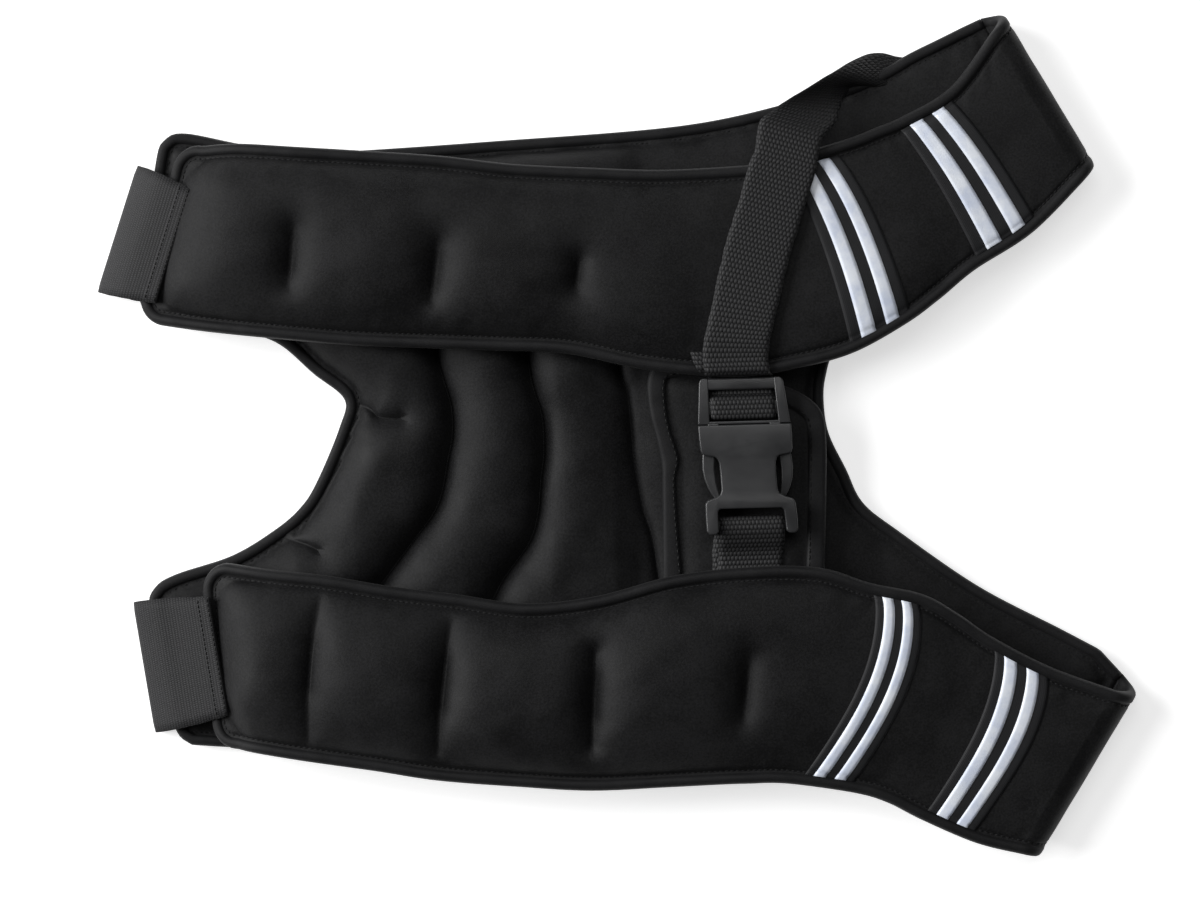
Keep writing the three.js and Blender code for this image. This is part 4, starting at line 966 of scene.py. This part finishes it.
CREASE_ROWS = np.array([-3.4, -1.9, -0.8, 0, 0.8, 1.9, 3.4]) * MM
crease_lines = [resample(curve(table(BACK_COLUMNS, crease["points"]), 10), 1.8 * MM)
                for crease in BACK_CREASES]
plan, faces = plan_mesh(back_outline, 2.5 * MM, crease_lines)
edge_distance = path_distance(plan, np.concatenate([back_outline, back_outline[:1]]))
along = (plan[:, 0] - ORIGIN_X) / VEST_LENGTH
rise = bulge((edge_distance - SEAM_WIDTH) / CHANNEL_SHOULDER, 2.2, 0.7)
filling = np.interp(along, [row["along"] for row in BACK_LOFT], [row["loft"] for row in BACK_LOFT])
for crease, line in zip(BACK_CREASES, crease_lines):
    off = path_distance(plan, line)
    pillow = bulge(off / CREASE_VALLEY, 2.2, 0.62)
    tight = CREASE_SHARE * crease["depth"] * np.exp(-(off / CREASE_LINE) ** 1.3)
    filling = filling * (1 - crease["depth"] * (1 - pillow)) * (1 - tight)
x, y = plan[:, 0], plan[:, 1]
lumps = noise(x, y, 30 * MM) * 0.9 * MM + noise(x + 2, y, 12 * MM) * 0.3 * MM
puckers = noise(x * 1.2, y * 1.2, PUCKER) * 0.35 * MM
near_rim = band_between(edge_distance, SEAM_WIDTH - MM, SEAM_WIDTH + 2 * MM, 9 * MM, 20 * MM)
back_top = EDGE_TOP + CHANNEL_LOFT * filling * rise + lumps * rise * (0.3 + filling) + puckers * near_rim
back_top = back_top + groove(edge_distance - SEAM_LINE)
arm = smoothstep(0.215, 0.245, along)
sink = bulge((edge_distance - SEAM_WIDTH) / (9 * MM), 2, 0.6)
back_bottom = EDGE_BASE * (1 - sink * (1 - arm))
back = plan_body("back", plan, faces, back_top, back_bottom, "neoprene")
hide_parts("back_panel")

for name, line in (("outer", outer_edge), ("neck", neck_edge)):
    points, normals, outward = level_edge(line, EDGE_MIDDLE, back_outline)
    piece = rolled_binding(f"back_edge_{name}", points, normals, outward, 3.1)
    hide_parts(f"back_binding_{name}")
    seam = points - outward * SEAM_LINE + UP * (CLOTH / 2 - SEAM_SINK)
    stitches(f"stitches_back_{name}", [(seam[3:-3], normals[3:-3])])


# Flap behind the buckle
FLAP_TAPE = 8.4 * MM
FLAP_TAPE_LEFT = table("y depth", [
    (-75, 9.2), (-45, 6.6), (-30, 5.8), (-21, 5.8), (-13, 8.4), (-8, 8.0), (1, 7.2), (22, 8.6),
    (36, 8.8),
])
flap_line = curve(FLAP_EDGE, 12)
flap_rim = resample(flap_line, EDGE_SPACING)
flap_outline = np.concatenate([flap_rim, resample(flap_line[[-1, 0]], EDGE_SPACING)[1:-1]])
plan, faces = plan_mesh(flap_outline, PLAN_STEP)
off = path_distance(plan, flap_rim)
loft = 1.1 * MM + noise(plan[:, 0], plan[:, 1], 17 * MM) * 0.5 * MM
puff = smoothstep(FLAP_TAPE, FLAP_TAPE + 10 * MM, off) * loft
dip = groove(off - FLAP_TAPE - 0.4 * MM, 0.5 * MM)
flap = plan_body("flap", plan, faces, FLAP_MIDDLE + CLOTH / 2 + puff + dip,
                 np.full(len(plan), FLAP_MIDDLE - CLOTH / 2), "neoprene")
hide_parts("buckle_flap")
bound = resample(flap_line, 2.0 * MM)
heights = [row["y"] * MM for row in FLAP_TAPE_LEFT]
left_depth = np.interp(bound[:, 1] - ORIGIN_Y, heights, [row["depth"] * MM for row in FLAP_TAPE_LEFT])
on_left = 1 - smoothstep(25 * MM, 50 * MM, bound[:, 0] - ORIGIN_X)
tape_depth = FLAP_TAPE + (left_depth - FLAP_TAPE) * on_left
points, normals, outward = level_edge(bound, FLAP_MIDDLE, flap_outline)
piece = rolled_binding("flap_edge", points, normals, outward, 6.3, depth=tape_depth, boxy=0.5)
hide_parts("flap_binding")
seam = points - outward * (tape_depth - 1.8 * MM)[:, None] + UP * (BOUND_HALF - 0.4 * MM)
stitches("stitches_flap", [(seam[2:-2], normals[2:-2])], "webbing", pitch=3.6 * MM, length=2.7 * MM)


# Strips: webbing and elastic
STRIP_COLUMNS = 14
EDGE_WAVE = 0.25 * MM


def ribbon(name, rows, width, thickness, material, spacing=1.6 * MM, flare=0.0):
    """A strip of even thickness along rows of a middle point and a cross direction."""
    both = resample(rows, spacing)
    middle, side = both[:, :3], unit(both[:, 3:])
    run = run_along(middle)
    tangent = unit(np.gradient(middle, axis=0))
    normal = unit(np.cross(side, tangent))
    shares = np.linspace(-1, 1, STRIP_COLUMNS + 1)
    sections, uvs = [], []
    wave = EDGE_WAVE * noise(run, run * 0 + 9.3, 5 * MM)
    thick = thickness / 2 * np.where(np.abs(shares) > 0.97, 0.45, 1.0)
    for i in range(len(middle)):
        half = width / 2 + wave[i] + flare * math.sin(math.pi * run[i] / run[-1])
        line = middle[i] + side[i] * (shares * half)[:, None]
        rise = normal[i] * thick[:, None]
        sections.append(np.concatenate([line + rise, (line - rise)[::-1]]))
        uv = np.column_stack([shares * half, np.full(len(shares), run[i])])
        uvs.append(np.concatenate([uv, uv[::-1]]))
    return swept(name, np.array(sections), material, np.array(uvs).reshape(-1, 2))


def slope_in(vector, normal):
    """Rise that keeps a level direction in a tilted plane."""
    return -vector @ (normal * [1, 1, 0]) / normal[2]


FLOOR_GAP = 0.2 * MM
BAND_FLARE = 3.6 * MM
BAND_STEPS = 7
BAND_SPACING = 1.6 * MM
HEM_LENGTH = 8.5 * MM
HEM_RISE = 1.35 * MM
for band in SIDE_BANDS:
    hem = strap_ends[band["name"]]["hem"]
    run_out = -direction(band["lean"])
    aside = direction(band["lean"] - 90)
    low = WEBBING_THICKNESS / 2 + FLOOR_GAP
    start = place(band["along"], band["across"])
    length = band["reach"] * VEST_LENGTH
    rise_off = (BOUND_HALF + CLEARANCE + low) / hem["normal"][2]

    def leaf_height(out):
        point = start + run_out * out * length - hem["middle"]
        return hem["middle"][2] + slope_in(point, hem["normal"]) + rise_off

    crest = leaf_height(0.5)
    path = [(0, leaf_height(0), 1), (0.5, crest, 1), (0.72, low + (crest - low) * 0.8, 0.5),
            (0.9, low + (crest - low) * 0.52, 0), (1, low + (crest - low) * 0.27, 0),
            (0.97, low + (crest - low) * 0.08, 0), (0.88, low, 0), (0.02, low, 0)]
    rows = []
    for out, height, tilt in path:
        middle = start + run_out * out * length
        middle[2] = height
        cross = aside.copy()
        cross[2] = tilt * slope_in(aside, hem["normal"])
        rows.append(np.concatenate([middle, unit(cross)]))
    rows = catmull(rows, BAND_STEPS)
    name = f"band_{band['name']}"
    piece = ribbon(name, rows, ELASTIC_WIDTH, WEBBING_THICKNESS, "elastic", flare=BAND_FLARE)
    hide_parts(f"elastic_{name}")
    top_rows = rows[:2 * BAND_STEPS - 3]
    across_up = unit(np.cross(top_rows[:, 3:], np.gradient(top_rows[:, :3], axis=0)))
    across_up *= np.sign(across_up[:, 2:3])
    doubled = np.concatenate([top_rows[:, :3] + across_up * HEM_RISE, top_rows[:, 3:]], 1)
    keep = resample(doubled, BAND_SPACING)[:max(3, int(HEM_LENGTH / BAND_SPACING) + 1)]
    ribbon(f"{name}_hem", keep, ELASTIC_WIDTH - 0.8 * MM, 1.1 * MM, "elastic")
    lines = []
    for out in (1.3 * MM, 6.6 * MM):
        centre = keep[0, :3] + run_out * out
        centre[2] = keep[0, 2] + slope_in(run_out * out, hem["normal"]) + 0.62 * MM
        cross = keep[0, 3:]
        line = centre + cross * (np.linspace(-0.47, 0.47, 40) * ELASTIC_WIDTH)[:, None]
        lines.append((line, np.repeat(hem["normal"][None], 40, 0)))
    stitches(f"stitches_{name}", lines, "webbing", pitch=2.6 * MM, length=1.9 * MM)


# Buckle: down is measured from the top edge towards the left strap
buckle_top = place(BUCKLE_ALONG, BUCKLE_ACROSS)
FRAME_LENGTH = 25.1 * MM
FRAME_THICKNESS = 8 * MM
BODY_LENGTH = 45 * MM
BODY_THICKNESS = 12 * MM
LEG_LENGTH = 14 * MM
TOP_BAR = 6.5 * MM
MIDDLE_BAR = 7.8 * MM
BAR_THICKNESS = 3 * MM
SLOT_LENGTH = 5.9 * MM
LOOP_BAR = 5.4 * MM
MIDDLE_START = TOP_BAR + SLOT_LENGTH
MIDDLE_END = MIDDLE_START + MIDDLE_BAR
BUCKLE_TURN = math.radians(4.4)
CROSS_TURN = math.radians(1.6)
TURNED_CROSS = (math.cos(CROSS_TURN), math.sin(CROSS_TURN), 0.0)
BAR_TOP = BUCKLE_BASE + FRAME_THICKNESS - WEBBING_THICKNESS - CLEARANCE
BODY_TOP = FRAME_LENGTH + CLEARANCE


def on_buckle(across, down, height):
    """A place on the buckle, which lies turned about the middle of its male half's lower edge."""
    up_by = FRAME_LENGTH - down
    x = across * math.cos(CROSS_TURN) - up_by * math.sin(BUCKLE_TURN)
    y = across * math.sin(CROSS_TURN) + up_by * math.cos(BUCKLE_TURN)
    return (buckle_top[0] + x, buckle_top[1] - FRAME_LENGTH + y, height)


# Angles between faces, in radians, above which an edge is bevelled or stays sharp
BEVEL_ANGLE = 0.35
SHARP_ANGLE = math.radians(42)


def bevelled(parts, name, node_name):
    """One piece from bevelled slabs: each an outline of (across, down) in mm, two heights and a bevel."""
    whole = bmesh.new()
    for outline, low, high, bevel in parts:
        work = bmesh.new()
        ring = [work.verts.new(on_buckle(x * MM, y * MM, low)) for x, y in outline]
        face = work.faces.new(ring)
        made = bmesh.ops.extrude_face_region(work, geom=[face])
        for item in made["geom"]:
            if isinstance(item, bmesh.types.BMVert):
                item.co.z = high
        bmesh.ops.recalc_face_normals(work, faces=work.faces)
        inner = [edge for edge in work.edges if len(edge.link_faces) == 2]
        sharp = [edge for edge in inner if edge.calc_face_angle() > BEVEL_ANGLE]
        bmesh.ops.bevel(work, geom=sharp, offset=bevel, offset_type="OFFSET", segments=3, profile=0.6,
                        affect="EDGES", clamp_overlap=True)
        temporary = bpy.data.meshes.new("part")
        work.to_mesh(temporary)
        whole.from_mesh(temporary)
        work.free()
        bpy.data.meshes.remove(temporary)
    mesh = bpy.data.meshes.new(name)
    whole.to_mesh(mesh)
    whole.free()
    piece = add_piece(name, mesh, "buckle_plastic")
    mesh.set_sharp_from_angle(angle=SHARP_ANGLE)
    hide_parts(node_name)


def box_outline(x0, x1, y0, y1):
    return [(x0, y0), (x1, y0), (x1, y1), (x0, y1)]


def mirror(outline):
    return [(-x, y) for x, y in reversed(outline)]


frame_low, frame_high = BUCKLE_BASE, BUCKLE_BASE + FRAME_THICKNESS
rail = [(17.6, 0.0), (20.8, 0.0), (22.0, 0.8), (22.7, 2.6), (24.9, 25.0), (18.6, 25.0)]
prong = [(13.4, 24.4), (19.6, 24.4), (21.8, 33.0), (23.4, 39.0), (24.0, 42.9), (24.4, 48.9), (23.7, 54.5),
         (22.3, 59.0), (20.5, 62.8), (18.4, 65.6), (15.2, 66.6), (15.8, 64.4), (16.8, 60.8), (17.6, 56.5),
         (18.0, 48.9), (17.2, 42.9), (16.0, 37.0)]
prong_low = BUCKLE_BASE + 3.4 * MM
prong_high = prong_low + 5.2 * MM
male_parts = [
    (rail, frame_low, frame_high, 1.3 * MM),
    (mirror(rail), frame_low, frame_high, 1.3 * MM),
    (box_outline(-18.8, 18.8, 0.1, 6.4), frame_high - 3.6 * MM, frame_high - 0.2 * MM, 1.2 * MM),
    (box_outline(-19.5, 19.5, 12.4, 20.2), BAR_TOP - BAR_THICKNESS, BAR_TOP, 0.9 * MM),
    (box_outline(-19.5, 19.5, 23.4, 25.0), frame_low + 0.3 * MM, frame_high - 0.1 * MM, 0.5 * MM),
    (prong, prong_low, prong_high, 0.9 * MM),
    (mirror(prong), prong_low, prong_high, 0.9 * MM),
]
bevelled(male_parts, "buckle_frame", "buckle_male")

down = BODY_TOP / MM
half_body = [(25.0, 0.0), (25.0, 6.0), (24.7, 13.4), (24.0, 15.6), (22.2, 16.2), (18.0, 16.8),
             (16.2, 17.8), (15.2, 20.2), (15.0, 25.0), (15.0, 35.2), (15.8, 37.4), (18.6, 39.0),
             (22.6, 40.2), (24.2, 42.2), (24.4, 46.0), (24.6, 52.0), (24.5, 57.4), (23.0, 59.0),
             (19.8, 59.0), (18.2, 57.6), (17.8, 46.4), (16.6, 45.2)]
body_outline = [(x, y + down) for x, y in half_body] + [(-x, y + down) for x, y in reversed(half_body)]
body_low, body_high = BUCKLE_BASE, BUCKLE_BASE + BODY_THICKNESS
female_parts = [
    (body_outline, body_low, body_high, 1.7 * MM),
    (box_outline(-18.4, 18.4, down + 51.6, down + 57.0), BAR_TOP - BAR_THICKNESS, BAR_TOP, 0.8 * MM),
]
bevelled(female_parts, "buckle_body", "buckle_female")


# Chest webbing and lower webbing
LEAF_LOW = BUCKLE_BASE + CLEARANCE + WEBBING_THICKNESS / 2
LEAF_HIGH = LEAF_LOW + LEAF_STEP
OVER_BAR = BAR_TOP + CLEARANCE + WEBBING_THICKNESS / 2
WRAP = WEBBING_THICKNESS / 2 + CLEARANCE
ON_FLAP = FLAP_MIDDLE + CLOTH / 2 + CLEARANCE + WEBBING_THICKNESS / 2


def buckle_path(rows, start=0.0):
    """Middle points and cross directions from rows of a shift in mm, a distance down and a height."""
    return [(*on_buckle(shift * MM, start + down_by, height), *TURNED_CROSS)
            for shift, down_by, height in rows]


def webbing_strip(name, rows, node_name):
    piece = ribbon(name, catmull(rows, 6), WEBBING_WIDTH, WEBBING_THICKNESS, "webbing", 1.0 * MM)
    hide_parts(node_name)


chest_rows = [
    (-9, -14.5 * MM, ON_STRAP), (-6.6, -6.5 * MM, ON_STRAP), (-5.8, -3.9 * MM, ON_STRAP - 1.2 * MM),
    (-3.8, -3.3 * MM, ON_STRAP - 5 * MM), (-0.9, -2.6 * MM, LEAF_LOW + 1.4 * MM), (0, -0.2 * MM, LEAF_LOW),
    (0, MIDDLE_END - 0.4 * MM, LEAF_LOW), (0, MIDDLE_END + WRAP + 0.35 * MM, LEAF_LOW + 0.9 * MM),
    (0, MIDDLE_END + WRAP + 0.8 * MM, (LEAF_LOW + OVER_BAR) / 2),
    (0, MIDDLE_END + WRAP + 0.4 * MM, OVER_BAR - 0.7 * MM), (0, MIDDLE_END - 0.1 * MM, OVER_BAR),
    (0, MIDDLE_START + 0.1 * MM, OVER_BAR), (0, MIDDLE_START - WRAP - 0.4 * MM, OVER_BAR - 0.8 * MM),
    (0, MIDDLE_START - WRAP - 1.6 * MM, LEAF_HIGH + 0.9 * MM),
    (0, MIDDLE_START - WRAP - 3.8 * MM, LEAF_HIGH), (0, 0.9 * MM, LEAF_HIGH),
    (0, -0.9 * MM, LEAF_HIGH + 1.7 * MM), (-1, -1.6 * MM, ON_STRAP - 4.5 * MM),
    (-1.9, -2.2 * MM, ON_STRAP + 0.2 * MM), (-1.7, -4.8 * MM, ON_STRAP + LEAF_STEP),
    (-2.3, -10 * MM, ON_STRAP + LEAF_STEP),
]
strip = buckle_path(chest_rows)
tail = catmull([list(row.values()) for row in TAIL_ROWS], 2)
for along_share, across_share, lean, tilt, rise_share in tail:
    spot = place(along_share, across_share, (ON_STRAP + LEAF_STEP) * (1 + rise_share))
    cross = direction(-lean) * math.cos(math.radians(tilt)) + UP * math.sin(math.radians(tilt))
    strip.append((*spot, *cross))
for row in TAIL_END:
    dip = math.radians(row["dip"])
    cross = direction(row["turn"]) * math.cos(dip) - UP * math.sin(dip)
    left = np.array([row["x"], row["y"], row["height"]]) * MM
    strip.append((*(left + cross * WEBBING_WIDTH / 2), *cross))
webbing_strip("chest_strap", strip, "chest_webbing")

loop_middle = BODY_TOP + BODY_LENGTH + LEG_LENGTH - 2 * MM - LOOP_BAR / 2
loop_rows = [
    (-9.5, 46 * MM, ON_FLAP), (-3.6, 8 * MM, ON_FLAP), (-0.8, 1 * MM, ON_FLAP + 0.8 * MM),
    (0, -LOOP_BAR / 2 - WRAP, BAR_TOP - BAR_THICKNESS - WRAP),
    (0, -LOOP_BAR / 2 - WRAP - 0.5 * MM, BAR_TOP - BAR_THICKNESS / 2),
    (0, -LOOP_BAR / 2 - 0.4 * MM, BAR_TOP + WRAP - 0.2 * MM), (0, LOOP_BAR / 2, BAR_TOP + WRAP),
    (-0.5, 9 * MM, BAR_TOP - 1.5 * MM), (-2, 18 * MM, ON_FLAP + LEAF_STEP),
    (-6, 46 * MM, ON_FLAP + LEAF_STEP),
]
webbing_strip("lower_strap", buckle_path(loop_rows, loop_middle), "lower_webbing")
